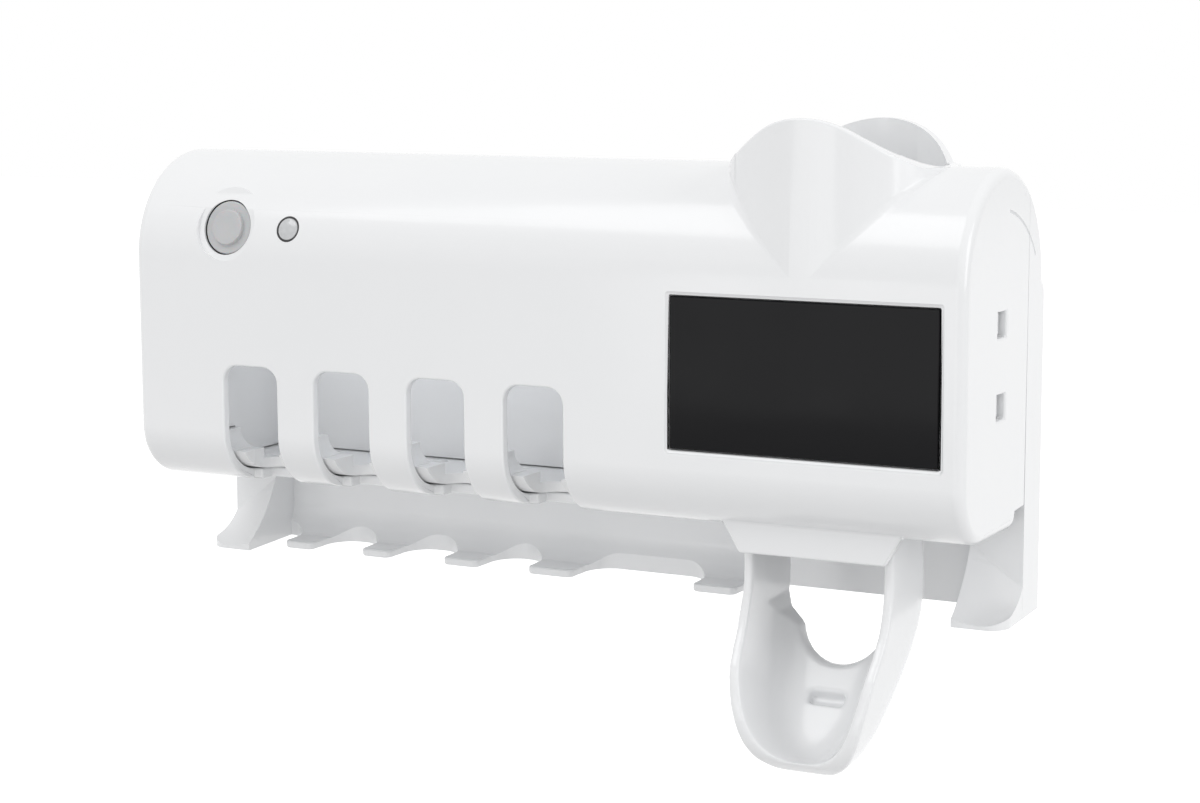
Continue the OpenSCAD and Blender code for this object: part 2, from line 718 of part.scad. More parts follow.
// Lever stations: height, front rim and back behind the casing's front, share of the width, corner bend
function lever_stations() = [
    [3, 10, 27.2, 1, 0.12], [-4, 10, 28.6, 1, 0.12], [-12, 9.8, 29.6, 1.005, 0.14], [-19.1, 7, 28, 1.005, 0.18],
    [-26.3, 2, 23.5, 0.965, 0.22], [-33.4, 0.1, 18.5, 0.88, 0.28], [-38.8, 0.4, 14.8, 0.77, 0.36],
    [-42.5, 1.8, 11.6, 0.62, 0.45], [-44.7, 4, 8.8, 0.42, 0.55], [-45.4, 5.6, 7, 0.24, 0.65]];

// One smooth value between stations, by a cubic through four of them
function cubic(a, b, c, d, t) = b + t * ((c - a) + t * ((2 * a - 5 * b + 4 * c - d)
    + t * (3 * b - 3 * c + d - a))) / 2;
function station(s, k) = s[max(0, min(len(s) - 1, k))];
function blend_station(s, u) = let(k = min(floor(u), len(s) - 2), t = u - k)
    [for (j = [0 : len(s[0]) - 1])
        cubic(station(s, k - 1)[j], station(s, k)[j], station(s, k + 1)[j], station(s, k + 2)[j], t)];

// One level of the scoop: a rounded U, open or closed towards the front
lever_steps = 20;
lever_turns = 18;
function scoop_ring(st, inset, front, soft) = let(hw = lever_hw * st[3] - inset, rim = st[1] - body_d - front,
        z = -st[0] * lever_drop / lever_stations()[9][0], deep = st[2] - inset - st[1] + front,
        bend = st[4] + soft)
    [for (i = [0 : lever_turns]) let(a = 180 * i / lever_turns, c = cos(a), q = sin(a))
        [pump_x + hw * sign(c) * pow(abs(c), bend), rim + deep * pow(q, bend), z]];

// Skin over rings of equal length, closed at both ends
module skin(rings) {
    n = len(rings[0]);
    m = len(rings);
    points = [for (r = rings) each r];
    sides = [for (k = [0 : m - 2], i = [0 : n - 1]) let(j = (i + 1) % n, a = k * n + i, b = k * n + j)
        each [[a, b, a + n], [b, b + n, a + n]]];
    last = (m - 1) * n;
    polyhedron(points, concat(sides, [[for (i = [n - 1 : -1 : 0]) i]], [[for (i = [0 : n - 1]) last + i]]));
}

module scoop(inset, front, drop, soft) {
    s = lever_stations();
    top = len(s) - 1;
    skin([for (k = [0 : lever_steps]) let(st = blend_station(s, top * k / lever_steps))
        scoop_ring([st[0] + drop * k / lever_steps, st[1], st[2], st[3], st[4]], inset, front, soft)]);
}

module lever() color("white") difference() {
    union() {
        difference() {
            scoop(0, 0, 0, 0);
            scoop(lever_t, 9, lever_t + 0.6, 0.25);
            translate([pump_x - lever_hw + lever_t, -body_d, 2]) cube([2 * (lever_hw - lever_t), body_d, 4]);
            // Notch between the arms, open at the top
            along_y(body_d - 11, 8) translate([pump_x, 0]) {
                gap = lever_hw - lever_t - 0.1;
                translate([0, -19.4]) circle(9.6);
                polygon([[-9.08, -22.5], [1 - gap, -19.5], [-gap, -16.5], [-gap, 8],
                    [gap, 8], [gap, -16.5], [gap - 1, -19.5], [9.08, -22.5]]);
            }
            // Small pocket in the scoop
            translate([pump_x, 16 - body_d, -35]) rotate([38, 0, 0]) cube([7.4, 2.6, 3.2], center = true);
        }
        for (s = [-1, 1]) translate([pump_x + s * (lever_hw - lever_t / 2), 0, 0]) along_x(lever_t)
            // Arm from the scoop up past the pin to the push rod
            hull() {
                translate([-pivot_y, pivot_z]) circle(5);
                translate([-rod_y, rod_z]) circle(rod_r + 1.4);
                translate([10.2 - body_d, 1.5]) square([17, 1.4]);
            }
        // Push rod behind the press block
        translate([pump_x, -rod_y, rod_z]) rotate([0, 90, 0])
            cylinder(r = rod_r, h = 2 * lever_hw - 1, center = true, $fn = 48);
    }
    translate([pump_x, -pivot_y, pivot_z]) rotate([0, 90, 0])
        cylinder(r = pin_r + run, h = 60, center = true, $fn = 48);
}

module lever_pin() color("silver") for (s = [-1, 1])
    translate([pump_x + s * (cheek_hw + frame_t + 0.6 - pin_l / 2), -pivot_y, pivot_z]) rotate([0, 90, 0])
        cylinder(r = pin_r, h = pin_l, center = true, $fn = 48);

// Return spring wound round the right-hand pin, its leg resting on the back of the anvil
pin_l = 12.4;
spring_turns = 4;
wire_r = 0.4;
leg_l = 10;
function spring_path() = let(r = pin_r + 1, x0 = lever_hw - lever_t - 4.6)
    concat([[x0, r, leg_l], [x0, r, leg_l / 2]], [for (i = [0 : 8 * spring_turns]) let(a = -45 * i)
        [x0 + i * (wire_r * 2.4) / 8, r * cos(a), r * sin(a)]]);

module lever_spring() color("silver") translate([pump_x, -pivot_y, pivot_z]) {
    p = spring_path();
    n = len(p);
    sides = 6;
    rings = [for (k = [0 : n - 1]) let(a = -45 * max(0, k - 2), u = [0, cos(a), sin(a)], v = [-1, 0, 0])
        [for (j = [0 : sides - 1]) p[k] + wire_r * (u * cos(360 * j / sides) + v * sin(360 * j / sides))]];
    skin(rings);
}

battery_x = -22;
battery_y = 24 - body_d;
battery_z = 52.6;

module battery_cell() color("royalblue") translate([battery_x, battery_y, battery_z]) rotate([0, 90, 0]) {
    cylinder(r = cell_r, h = cell_l - 1.4, center = true);
    translate([0, 0, cell_l / 2 - 0.8]) cylinder(r = 2.8, h = 1.6, center = true);
}

module battery_cradle() color("dimgray") difference() {
    base_z = uv_board_z + 1.2 + 2;
    union() {
        for (s = [-1, 1]) translate([battery_x + s * cell_l / 3, battery_y, (base_z + battery_z - 4) / 2])
            cube([6, 2 * cell_r, battery_z - 4 - base_z], center = true);
        translate([battery_x - cell_l / 2, -wall - 5, base_z - 1.4]) mirror([0, 1, 0]) cube([cell_l, 26, 1.6]);
        // Foot on the rear housing's back wall
        translate([battery_x - cell_l / 2, -wall - 5.2, base_z - 1.4]) cube([cell_l, 5, 6]);
    }
    translate([battery_x, battery_y, battery_z]) rotate([0, 90, 0])
        cylinder(r = cell_r + 0.15, h = 2 * cell_l, center = true);
}

module control_board() color("darkgreen") difference() {
    translate([control_x - control_w / 2, -control_y - 1.2, control_z]) cube([control_w, 1.2, control_h]);
    for (z = control_holes) translate([control_x, 0, z]) rotate([90, 0, 0]) cylinder(r = 1.1, h = 20, $fn = 24);
}

module control_parts() color("black") {
    y = -control_y - 1.25;
    translate([control_x - 5, y - 1.2, control_z + 10]) cube([7, 1.2, 7]);
    translate([control_x + 6, y, control_z + 8]) rotate([90, 0, 0]) cylinder(r = 2.4, h = 3, $fn = 32);
    translate([control_x + 6, y, control_z + 16]) rotate([90, 0, 0]) cylinder(r = 1.8, h = 3.6, $fn = 32);
    translate([control_x + 3, y - 3, control_z + 19]) cube([8, 3, 3]);
}

module charge_socket() color("silver") difference() {
    translate([-body_w / 2 + 3.6, -socket_y, socket_z]) cube([5.6, 7.6, 2.8], center = true);
    translate([-body_w / 2 + 2.2, -socket_y, socket_z]) cube([4.6, 6.8, 2], center = true);
}

module charge_board() color("darkgreen") translate([wall + fit - body_w / 2, -socket_y - 6, socket_z - 2.7])
    cube([11, 12, 1.2]);

module screw(length, head_r, head_h, r) {
    difference() {
        union() {
            cylinder(r = r, h = length, $fn = 32);
            cylinder(r = head_r, h = head_h, $fn = 32);
        }
        for (a = [0, 90]) rotate([0, 0, a]) cube([head_r * 1.2, head_r * 0.3, head_h], center = true);
    }
}

module cover_screws() color("silver") for (p = boss_places)
    translate([p[0], -6.65, p[1]]) rotate([90, 0, 0]) screw(14, 2.6, 1.8, screw_r - 0.02);

module board_screws() color("silver") {
    for (z = control_holes) translate([control_x, -control_y - 1.2 - 1.05, z])
        rotate([-90, 0, 0]) screw(4, 1.8, 1, 0.95);
    for (s = [-1, 1]) on_roof((button_x + lens_x) / 2 + s * board_screw_x, board_depth)
        translate([0, 0, -2.4]) screw(4, 1.9, 1.1, 1.1);
}

module pump_screws() color("silver") for (s = [-1, 1])
    translate([pump_x + s * pump_foot, -pump_foot_y, foot_top + frame_t + 1.25]) mirror([0, 0, 1])
        screw(6, 2.2, 1.1, 1.1);

module wall_pads() color("lightsteelblue") for (p = pad_places)
    translate([p[0] - pad_size[0] / 2, -pad_t + 0.05, p[1] - pad_size[1] / 2 - 8])
        cube([pad_size[0], pad_t - 0.05, pad_size[1]]);

front_cover();
rear_housing();
brush_tray();
chamber_liner();
solar_cells();
solar_glass();
power_button();
status_lens();
tube_seat();
neck_collar();
neck_adapter();
squeeze_sleeve();
nozzle();
outlet_valve();
pump_frame();
press_block();
lever();
lever_pin();
lever_spring();
uv_board();
uv_leds();
lamp_window();
button_board();
button_switch();
status_led();
control_board();
control_parts();
battery_cell();
battery_cradle();
charge_board();
charge_socket();
cover_screws();
board_screws();
pump_screws();
wall_pads();
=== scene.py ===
# %% [markdown]
# A wall-hung toothbrush holder of glossy white plastic, with four arched windows,
# a black solar panel, a round button, a socket for a toothpaste tube and a scoop lever.
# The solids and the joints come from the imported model, which is loaded first and stays
# where it is. Each step below adds one piece or one finish around it.

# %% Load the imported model
import bpy, bmesh, math
from mathutils import Matrix, Vector


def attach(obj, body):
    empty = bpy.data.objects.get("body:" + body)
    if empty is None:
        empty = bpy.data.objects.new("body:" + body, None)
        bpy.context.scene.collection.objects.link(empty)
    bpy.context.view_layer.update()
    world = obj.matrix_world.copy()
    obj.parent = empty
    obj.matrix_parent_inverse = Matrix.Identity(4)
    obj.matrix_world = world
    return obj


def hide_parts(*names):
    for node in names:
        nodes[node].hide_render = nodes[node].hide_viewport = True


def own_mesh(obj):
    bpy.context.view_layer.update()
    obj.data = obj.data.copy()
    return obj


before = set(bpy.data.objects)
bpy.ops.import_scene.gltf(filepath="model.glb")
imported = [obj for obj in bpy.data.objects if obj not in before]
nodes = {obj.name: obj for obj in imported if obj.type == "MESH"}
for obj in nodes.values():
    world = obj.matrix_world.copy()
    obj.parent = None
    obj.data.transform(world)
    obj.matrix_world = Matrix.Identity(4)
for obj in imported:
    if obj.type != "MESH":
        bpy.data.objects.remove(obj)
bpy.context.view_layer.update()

# %% [markdown]
# The camera stands in front of the holder, a little to its right and above it, far away
# behind a long lens, so the long casing tapers only slightly. The angles were fitted to
# the corners of the casing and the panel, which is steadier than turning it by eye.

# %% Camera
AZIMUTH, PITCH, ROLL = math.radians(27.88), math.radians(8.21), math.radians(0.20)
CAMERA_PLACE = (0.2601, -0.5007, 0.0986)
SENSOR_MM, PHOTO_WIDTH_PX, FOCAL_PX = 36, 1200, 2631
camera_data = bpy.data.cameras.new("camera")
camera_data.sensor_width = SENSOR_MM
camera_data.lens = FOCAL_PX / PHOTO_WIDTH_PX * SENSOR_MM
camera = bpy.data.objects.new("camera", camera_data)
bpy.context.scene.collection.objects.link(camera)
turn = (Matrix.Rotation(AZIMUTH, 4, "Z") @ Matrix.Rotation(math.pi / 2 - PITCH, 4, "X")
        @ Matrix.Rotation(-ROLL, 4, "Z"))
camera.matrix_world = Matrix.Translation(CAMERA_PLACE) @ turn
bpy.context.scene.camera = camera
print("lens", round(camera_data.lens, 1), "mm")

# %% [markdown]
# White plastic on a white ground shows its shape only through soft shade. The world gives
# an even pale light from all sides, which leaves the windows and the underside darker, and
# three large lamps add a gentle slope of light. The ground is white only where the camera,
# gloss or clear plastic looks at it, so its glow throws no extra light on the plastic.

# %% World, lamps and ground
view = bpy.context.scene.view_settings
view.view_transform = "Standard"

WORLD_LIGHT = 0.76
GROUND_Z, GROUND_HALF, GROUND_TONE, GROUND_SEEN = -0.16, 3, (0.6, 0.6, 0.6, 1), (0.75, 0.75, 0.75, 1)


def seen_white(tree, lit):
    """1 where the camera, gloss or glass looks at the ground, and lit for the light it gives."""
    path = tree.nodes.new("ShaderNodeLightPath")
    either = tree.nodes.new("ShaderNodeMath")
    either.operation = "MAXIMUM"
    both = tree.nodes.new("ShaderNodeMath")
    both.operation = "MAXIMUM"
    tree.links.new(path.outputs["Is Camera Ray"], either.inputs[0])
    tree.links.new(path.outputs["Is Glossy Ray"], either.inputs[1])
    tree.links.new(either.outputs[0], both.inputs[0])
    tree.links.new(path.outputs["Is Transmission Ray"], both.inputs[1])
    reach = tree.nodes.new("ShaderNodeMapRange")
    reach.inputs["To Min"].default_value = lit
    reach.inputs["To Max"].default_value = 1.0
    tree.links.new(both.outputs[0], reach.inputs["Value"])
    return reach.outputs[0]


world = bpy.data.worlds.new("pale_room")
bpy.context.scene.world = world
world.use_nodes = True
background = world.node_tree.nodes["Background"]
background.inputs["Color"].default_value = (1, 1, 1, 1)
world.node_tree.links.new(seen_white(world.node_tree, WORLD_LIGHT), background.inputs["Strength"])


def lamp(name, place, target, width, height, watts):
    """A large soft lamp that looks from place to target."""
    data = bpy.data.lights.new(name, "AREA")
    data.shape = "RECTANGLE"
    data.size, data.size_y, data.energy = width, height, watts
    item = bpy.data.objects.new(name, data)
    bpy.context.scene.collection.objects.link(item)
    item.location = place
    item.rotation_euler = (Vector(target) - Vector(place)).to_track_quat("-Z", "Y").to_euler()


lamp("key_lamp", (-0.4, -0.7, 1.1), (0, 0, 0.03), 0.7, 0.7, 3.2)
lamp("side_lamp", (1.1, -0.15, 0.35), (0.05, 0, 0.02), 0.5, 0.7, 2.7)
lamp("low_fill", (-0.1, -1.2, -0.08), (0.03, 0, 0), 0.9, 0.4, 1.5)

ground_mesh = bpy.data.meshes.new("ground")
bm = bmesh.new()
bmesh.ops.create_grid(bm, x_segments=1, y_segments=1, size=GROUND_HALF)
bmesh.ops.translate(bm, vec=(0, 0, GROUND_Z), verts=bm.verts)
bm.to_mesh(ground_mesh)
bm.free()
ground = bpy.data.objects.new("ground", ground_mesh)
bpy.context.scene.collection.objects.link(ground)

ground_paint = bpy.data.materials.new("pale_ground")
ground_paint.use_nodes = True
tree = ground_paint.node_tree
shader = tree.nodes["Principled BSDF"]
shader.inputs["Base Color"].default_value = GROUND_TONE
shader.inputs["Roughness"].default_value = 0.9
glow = tree.nodes.new("ShaderNodeEmission")
tree.links.new(seen_white(tree, 0.0), glow.inputs["Strength"])
glow.inputs["Color"].default_value = GROUND_SEEN
together = tree.nodes.new("ShaderNodeAddShader")
tree.links.new(shader.outputs[0], together.inputs[0])
tree.links.new(glow.outputs[0], together.inputs[1])
tree.links.new(together.outputs[0], tree.nodes["Material Output"].inputs["Surface"])
ground_mesh.materials.append(ground_paint)
print("world light", WORLD_LIGHT, "and three lamps")

# %% [markdown]
# Moulded plastic is never one flat colour. Close up it has a faint tone from the flow of
# the melt, a roughness that drifts from place to place, and a fine grain of the mould.
# One helper makes them all from noise on Object coordinates, which stay fixed to the piece,
# and each finish gives its own colours, gloss and grain.


# %% Finish helper
def finish(name, pale, deep, rough, patch, grain, bump, depth=0.0001, **fixed):
    """A moulded or metal finish: its colour drifts between two tones and its roughness between
    two values, over patches and a grain that are given as noise scales."""
    mat = bpy.data.materials.new(name)
    mat.use_nodes = True
    t = mat.node_tree
    bsdf = t.nodes["Principled BSDF"]
    for socket, value in fixed.items():
        bsdf.inputs[socket.replace("_", " ")].default_value = value
    where = t.nodes.new("ShaderNodeTexCoord")
    drift = t.nodes.new("ShaderNodeTexNoise")
    drift.inputs["Scale"].default_value = patch
    drift.inputs["Detail"].default_value = 3
    tone = t.nodes.new("ShaderNodeMix")
    tone.data_type = "RGBA"
    tone.inputs["A"].default_value = (*pale, 1)
    tone.inputs["B"].default_value = (*deep, 1)
    polish = t.nodes.new("ShaderNodeMapRange")
    polish.inputs["From Min"].default_value = 0.3
    polish.inputs["From Max"].default_value = 0.7
    polish.inputs["To Min"].default_value = rough[0]
    polish.inputs["To Max"].default_value = rough[1]
    fine = t.nodes.new("ShaderNodeTexNoise")
    fine.inputs["Scale"].default_value = grain
    fine.inputs["Detail"].default_value = 2
    relief = t.nodes.new("ShaderNodeBump")
    relief.inputs["Strength"].default_value = bump
    relief.inputs["Distance"].default_value = depth
    for a, b in ((where.outputs["Object"], drift.inputs["Vector"]),
                 (where.outputs["Object"], fine.inputs["Vector"]),
                 (drift.outputs["Fac"], tone.inputs["Factor"]),
                 (tone.outputs["Result"], bsdf.inputs["Base Color"]),
                 (drift.outputs["Fac"], polish.inputs["Value"]),
                 (polish.outputs[0], bsdf.inputs["Roughness"]),
                 (fine.outputs["Fac"], relief.inputs["Height"]),
                 (relief.outputs[0], bsdf.inputs["Normal"])):
        t.links.new(a, b)
    return mat


# %% [markdown]
# The casing, the lever and the tube seat are one glossy white plastic, slightly cool. The
# inside of the brush chamber is the same plastic with less polish, painted a little paler than
# the casing: painted light that brightens the shaded chamber. The button is frosted, the lens
# milky, the collar and valve soft silicone, and the rest are the plain finishes of small
# works: tinned steel, green board, black mouldings and blue shrink wrap. The lamp's window
# is given a painted glow, which lights the chamber behind the brush windows from there.

# %% Finishes
glossy_white = finish("glossy_white_casing", (0.90, 0.905, 0.915), (0.87, 0.88, 0.89), (0.16, 0.26),
                      30, 700, 0.03, Specular_IOR_Level=0.5, Coat_Weight=0.25, Coat_Roughness=0.08)
# Paler than the casing's white: painted light that brightens the shaded chamber.
chamber_white_painted_light = finish("satin_chamber_white_painted_light", (0.93, 0.935, 0.94), (0.90, 0.905, 0.91), (0.35, 0.5),
                       35, 900, 0.05)
tray_white = finish("tray_white", (0.90, 0.905, 0.91), (0.87, 0.875, 0.88), (0.25, 0.36), 35, 900, 0.04)
inner_white = finish("inner_white_moulding", (0.86, 0.86, 0.86), (0.82, 0.82, 0.83), (0.35, 0.5),
                     50, 900, 0.06)
inner_grey = finish("inner_grey_moulding", (0.55, 0.56, 0.57), (0.48, 0.49, 0.5), (0.4, 0.55), 50, 900, 0.08)
frosted_grey = finish("frosted_button_grey", (0.58, 0.585, 0.595), (0.52, 0.525, 0.535), (0.3, 0.42),
                      120, 1500, 0.08, Subsurface_Weight=0.15, Subsurface_Scale=0.002)
soft_grey = finish("soft_grey_silicone", (0.45, 0.46, 0.48), (0.38, 0.39, 0.41), (0.5, 0.65), 150, 1200, 0.1)
milky_silicone = finish("milky_silicone", (0.72, 0.74, 0.78), (0.66, 0.68, 0.72), (0.4, 0.55),
                        150, 1200, 0.08, Subsurface_Weight=0.3, Subsurface_Scale=0.003)
steel = finish("plain_steel", (0.62, 0.62, 0.63), (0.5, 0.5, 0.52), (0.22, 0.4), 300, 2500, 0.1, Metallic=1.0)
board_green = finish("board_green", (0.02, 0.16, 0.06), (0.015, 0.11, 0.045), (0.25, 0.4), 150, 1800, 0.08)
black_moulding = finish("black_moulding", (0.02, 0.02, 0.02), (0.035, 0.035, 0.037), (0.4, 0.6),
                        200, 1800, 0.12)
cell_wrap = finish("blue_shrink_wrap", (0.02, 0.08, 0.36), (0.015, 0.06, 0.28), (0.2, 0.34), 60, 600, 0.1)
led_body = finish("led_body", (0.85, 0.82, 0.68), (0.78, 0.74, 0.58), (0.15, 0.3), 300, 1500, 0.05)
milky_lens = finish("milky_lens", (0.66, 0.67, 0.68), (0.50, 0.51, 0.52), (0.08, 0.2), 900, 2500, 0.2,
                    Coat_Weight=0.6, Coat_Roughness=0.05)
# Its glow is painted light: it brightens the chamber behind the brush windows.
lamp_window_painted_glow = finish("painted_glow_lamp_window", (0.90, 0.92, 0.96), (0.85, 0.87, 0.92), (0.3, 0.45),
                   120, 900, 0.04, Emission_Color=(0.95, 0.97, 1.0, 1.0), Emission_Strength=1.0)
panel_black = finish("black_panel_glass", (0.006, 0.006, 0.007), (0.004, 0.004, 0.005), (0.05, 0.1),
                     60, 800, 0.01, Specular_IOR_Level=0.1)
foam_pad = finish("foam_pad", (0.55, 0.6, 0.68), (0.47, 0.52, 0.6), (0.75, 0.95), 250, 1400, 0.4, 0.0004)
print("finishes:", len(bpy.data.materials))

# %% [markdown]
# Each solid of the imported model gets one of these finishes, by the name of its node. The
# solids that a finer piece replaces below are dressed as well, so none is left bare.

# %% Finish of every carried-over node
finish_of = {
    "front_cover": glossy_white, "rear_housing": glossy_white, "brush_tray": tray_white,
    "chamber_liner": chamber_white_painted_light, "solar_cells": black_moulding, "solar_glass": panel_black,
    "power_button": frosted_grey, "status_lens": milky_lens, "tube_seat": glossy_white,
    "neck_collar": soft_grey, "neck_adapter": inner_white, "squeeze_sleeve": milky_silicone,
    "nozzle": inner_white, "outlet_valve": soft_grey, "pump_frame": inner_grey, "press_block": inner_grey,
    "lever": glossy_white, "lever_pin": steel, "lever_spring": steel, "uv_board": board_green,
    "uv_leds": led_body, "lamp_window": lamp_window_painted_glow, "button_board": board_green,
    "button_switch": black_moulding, "status_led": led_body, "control_board": board_green,
    "control_parts": black_moulding, "battery_cell": cell_wrap, "battery_cradle": inner_grey,
    "charge_board": board_green, "charge_socket": steel, "cover_screws": steel, "board_screws": steel,
    "pump_screws": steel, "wall_pads": foam_pad}
for name, mat in finish_of.items():
    item = nodes[name]
    item.data.materials.clear()
    item.data.materials.append(mat)
print("dressed nodes:", len(finish_of), "of", len(nodes))

# %% [markdown]
# The new pieces are made in millimetres, the way the casing is drawn, and are scaled to
# metres at the very end. A big shell is easiest to carve: draw its outline out into a
# solid, then unite and cut it with other simple forms. Round pieces are turned from a
# profile, as on a lathe, and the scoop is bridged ring by ring.


# %% Forms to carve with
def as_object(bm, name):
    """Puts a bmesh into an object, with its normals outwards."""
    bmesh.ops.recalc_face_normals(bm, faces=bm.faces)
    mesh = bpy.data.meshes.new(name)
    bm.to_mesh(mesh)
    bm.free()
    item = bpy.data.objects.new(name, mesh)
    bpy.context.scene.collection.objects.link(item)
    return item


def bevel_edges(bm, chosen, width, steps):
    """Rounds the chosen edges by a quarter circle of that width."""
    if chosen:
        bmesh.ops.bevel(bm, geom=chosen, offset=width, offset_type="OFFSET", segments=steps,
                        profile=0.5, affect="EDGES", material=-1, clamp_overlap=False)


def block(low, high, rounds=(), name="block"):
    """A box between two corners. Each of rounds is (test of an edge's two ends, width, steps)."""
    bm = bmesh.new()
    bmesh.ops.create_cube(bm, size=1)
    size = [h - l for l, h in zip(low, high)]
    bmesh.ops.scale(bm, vec=size, verts=bm.verts)
    bmesh.ops.translate(bm, vec=[(l + h) / 2 for l, h in zip(low, high)], verts=bm.verts)
    for test, width, steps in rounds:
        bevel_edges(bm, [e for e in bm.edges if all(test(v.co) for v in e.verts)], width, steps)
    return as_object(bm, name)


def every(p):
    """The test that all edges of a block pass."""
    return True


AXES = {"x": Matrix.Rotation(math.pi / 2, 4, "Y"),
        "y": Matrix.Rotation(math.pi / 2, 4, "X"),
        "z": Matrix.Identity(4)}


def rod(centre, radius, length, along="z", segments=64, name="rod"):
    """A cylinder whose middle is at centre."""
    bm = bmesh.new()
    bmesh.ops.create_cone(bm, cap_ends=True, segments=segments, radius1=radius, radius2=radius,
                          depth=length, matrix=Matrix.Translation(centre) @ AXES[along])
    return as_object(bm, name)


def chain(bm, run):
    """One line of edges through points (a, b) and arcs (centre a, b, radius, from, to, steps), drawn
    in X and Z."""
    line = []
    for step in run:
        if len(step) == 2:
            line.append(bm.verts.new((step[0], 0, step[1])))
            continue
        a, b, radius, start, end, steps = step
        start, sweep = math.radians(start), math.radians(end - start)
        first = bm.verts.new((a + radius * math.cos(start), 0, b + radius * math.sin(start)))
        before = set(bm.verts)
        bmesh.ops.spin(bm, geom=[first], cent=(a, 0, b), axis=(0, -1, 0), angle=sweep, steps=steps)
        line.append(first)
        line.extend(v for v in bm.verts if v not in before)
    for v, w in zip(line, line[1:]):
        if not bm.edges.get((v, w)):
            bm.edges.new((v, w))
    return line


def moved(grown):
    """The vertices in what an extrude gives back."""
    return [g for g in grown["geom"] if isinstance(g, bmesh.types.BMVert)]


def plate(run, front, back, along="y", name="plate"):
    """A closed outline of points and arcs, drawn out along Y, or an outline in Y and Z along X, or
    in X and Y along Z."""
    bm = bmesh.new()
    sign = 1 if along == "y" else -1
    line = chain(bm, run)
    bm.edges.new((line[-1], line[0]))
    bmesh.ops.contextual_create(bm, geom=list(bm.edges))
    bmesh.ops.translate(bm, vec=(0, sign * front, 0), verts=bm.verts)
    grown = bmesh.ops.extrude_face_region(bm, geom=list(bm.faces))
    bmesh.ops.translate(bm, vec=(0, sign * (back - front), 0), verts=moved(grown))
    if along == "x":
        bmesh.ops.rotate(bm, cent=(0, 0, 0), matrix=Matrix.Rotation(math.pi / 2, 3, "Z"), verts=bm.verts)
    if along == "z":
        bmesh.ops.rotate(bm, cent=(0, 0, 0), matrix=Matrix.Rotation(-math.pi / 2, 3, "X"), verts=bm.verts)
    return as_object(bm, name)


def turned(run, centre=(0, 0, 0), steps=96, ring=False, name="turned"):
    """A profile of radius and height, turned about Z. A ring's profile is closed and stays off the
    axis."""
    bm = bmesh.new()
    line = chain(bm, run)
    if ring:
        bm.edges.new((line[-1], line[0]))
    bmesh.ops.spin(bm, geom=list(bm.verts) + list(bm.edges), cent=(0, 0, 0), axis=(0, 0, 1),
                   angle=math.tau, steps=steps, use_merge=True)
    bmesh.ops.remove_doubles(bm, verts=bm.verts, dist=0.0005)
    bmesh.ops.translate(bm, vec=centre, verts=bm.verts)
    return as_object(bm, name)


def carve(base, operation, *tools):
    """base united with, cut by or kept inside each tool in turn. The tools are used up."""
    for tool in tools:
        step = base.modifiers.new("carve", "BOOLEAN")
        step.operation, step.object, step.solver = operation, tool, "EXACT"
    graph = bpy.context.evaluated_depsgraph_get()
    mesh = bpy.data.meshes.new_from_object(base.evaluated_get(graph))
    base.modifiers.clear()
    base.data = mesh
    for tool in tools:
        bpy.data.objects.remove(tool)
    return base


def round_edges(item, width, angle, where, steps=3):
    """Rounds those edges of a carved form that are sharper than an angle and whose middle passes a
    test. Small steps that a cut leaves are merged and flat stretches joined first."""
    bm = bmesh.new()
    bm.from_mesh(item.data)
    bmesh.ops.remove_doubles(bm, verts=bm.verts, dist=0.004)
    bmesh.ops.dissolve_limit(bm, angle_limit=math.radians(0.4), verts=bm.verts, edges=bm.edges)
    sharp = [e for e in bm.edges if len(e.link_faces) == 2
             and e.calc_face_angle(0) > math.radians(angle)
             and where((e.verts[0].co + e.verts[1].co) / 2)]
    bevel_edges(bm, sharp, width, steps)
    bmesh.ops.remove_doubles(bm, verts=bm.verts, dist=0.002)
    bm.to_mesh(item.data)
    bm.free()
    return item


def mould(item, voxel, passes):
    """Melts a carved form into one even skin whose edges are all soft, as polished tooling leaves
    them."""
    skin = item.modifiers.new("skin", "REMESH")
    skin.mode, skin.voxel_size, skin.adaptivity = "VOXEL", voxel, 0.0
    relax = item.modifiers.new("relax", "SMOOTH")
    relax.factor, relax.iterations = 0.5, passes
    return carve(item, "UNION")


def measure(item):
    """A form's open edges, which are 0 when it is closed, its volume and its number of faces."""
    bm = bmesh.new()
    bm.from_mesh(item.data)
    loose = sum(len(e.link_faces) != 2 for e in bm.edges)
    volume = bm.calc_volume(signed=True)
    bm.free()
    return f"{len(item.data.polygons)} faces, {loose} open edges, volume {volume:.3g}"


def piece(item, name, material, body, *replaced, slot, smooth=32.0):
    """Scales a form to metres, shades it smooth between its edges, dresses it and puts it on its
    body."""
    item.name = item.data.name = name
    item.data.transform(Matrix.Scale(0.001, 4))
    item.data.materials.clear()
    item.data.materials.append(material)
    item.data.shade_smooth()
    item.data.set_sharp_from_angle(angle=math.radians(smooth))
    normal = item.modifiers.new("flat_faces", "WEIGHTED_NORMAL")
    normal.keep_sharp = True
    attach(item, body)
    if replaced:
        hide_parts(*replaced)
    print(name, measure(item))
    return item


# %% [markdown]
# The whole casing is one outline in Y and Z: wall, half-round roof, front and round toe. It
# could be lofted from sections, but the outline is the same all along, so it is drawn out
# along X, and its two end faces are inset again and again, a little less each time and a
# little further out, which rounds the ends as the corner of a mould does.

# %% Casing outline
HALF, DEEP, HIGH, WALL = 95.0, 45.0, 71.0, 2.2
ROOF_R, TOE_R, END_R, END_STEPS = 22.5, 12.0, 2.2, 8
ROOF_Z = HIGH - ROOF_R
# Cutters that pass both ends reach this far to each side
BEYOND = 120


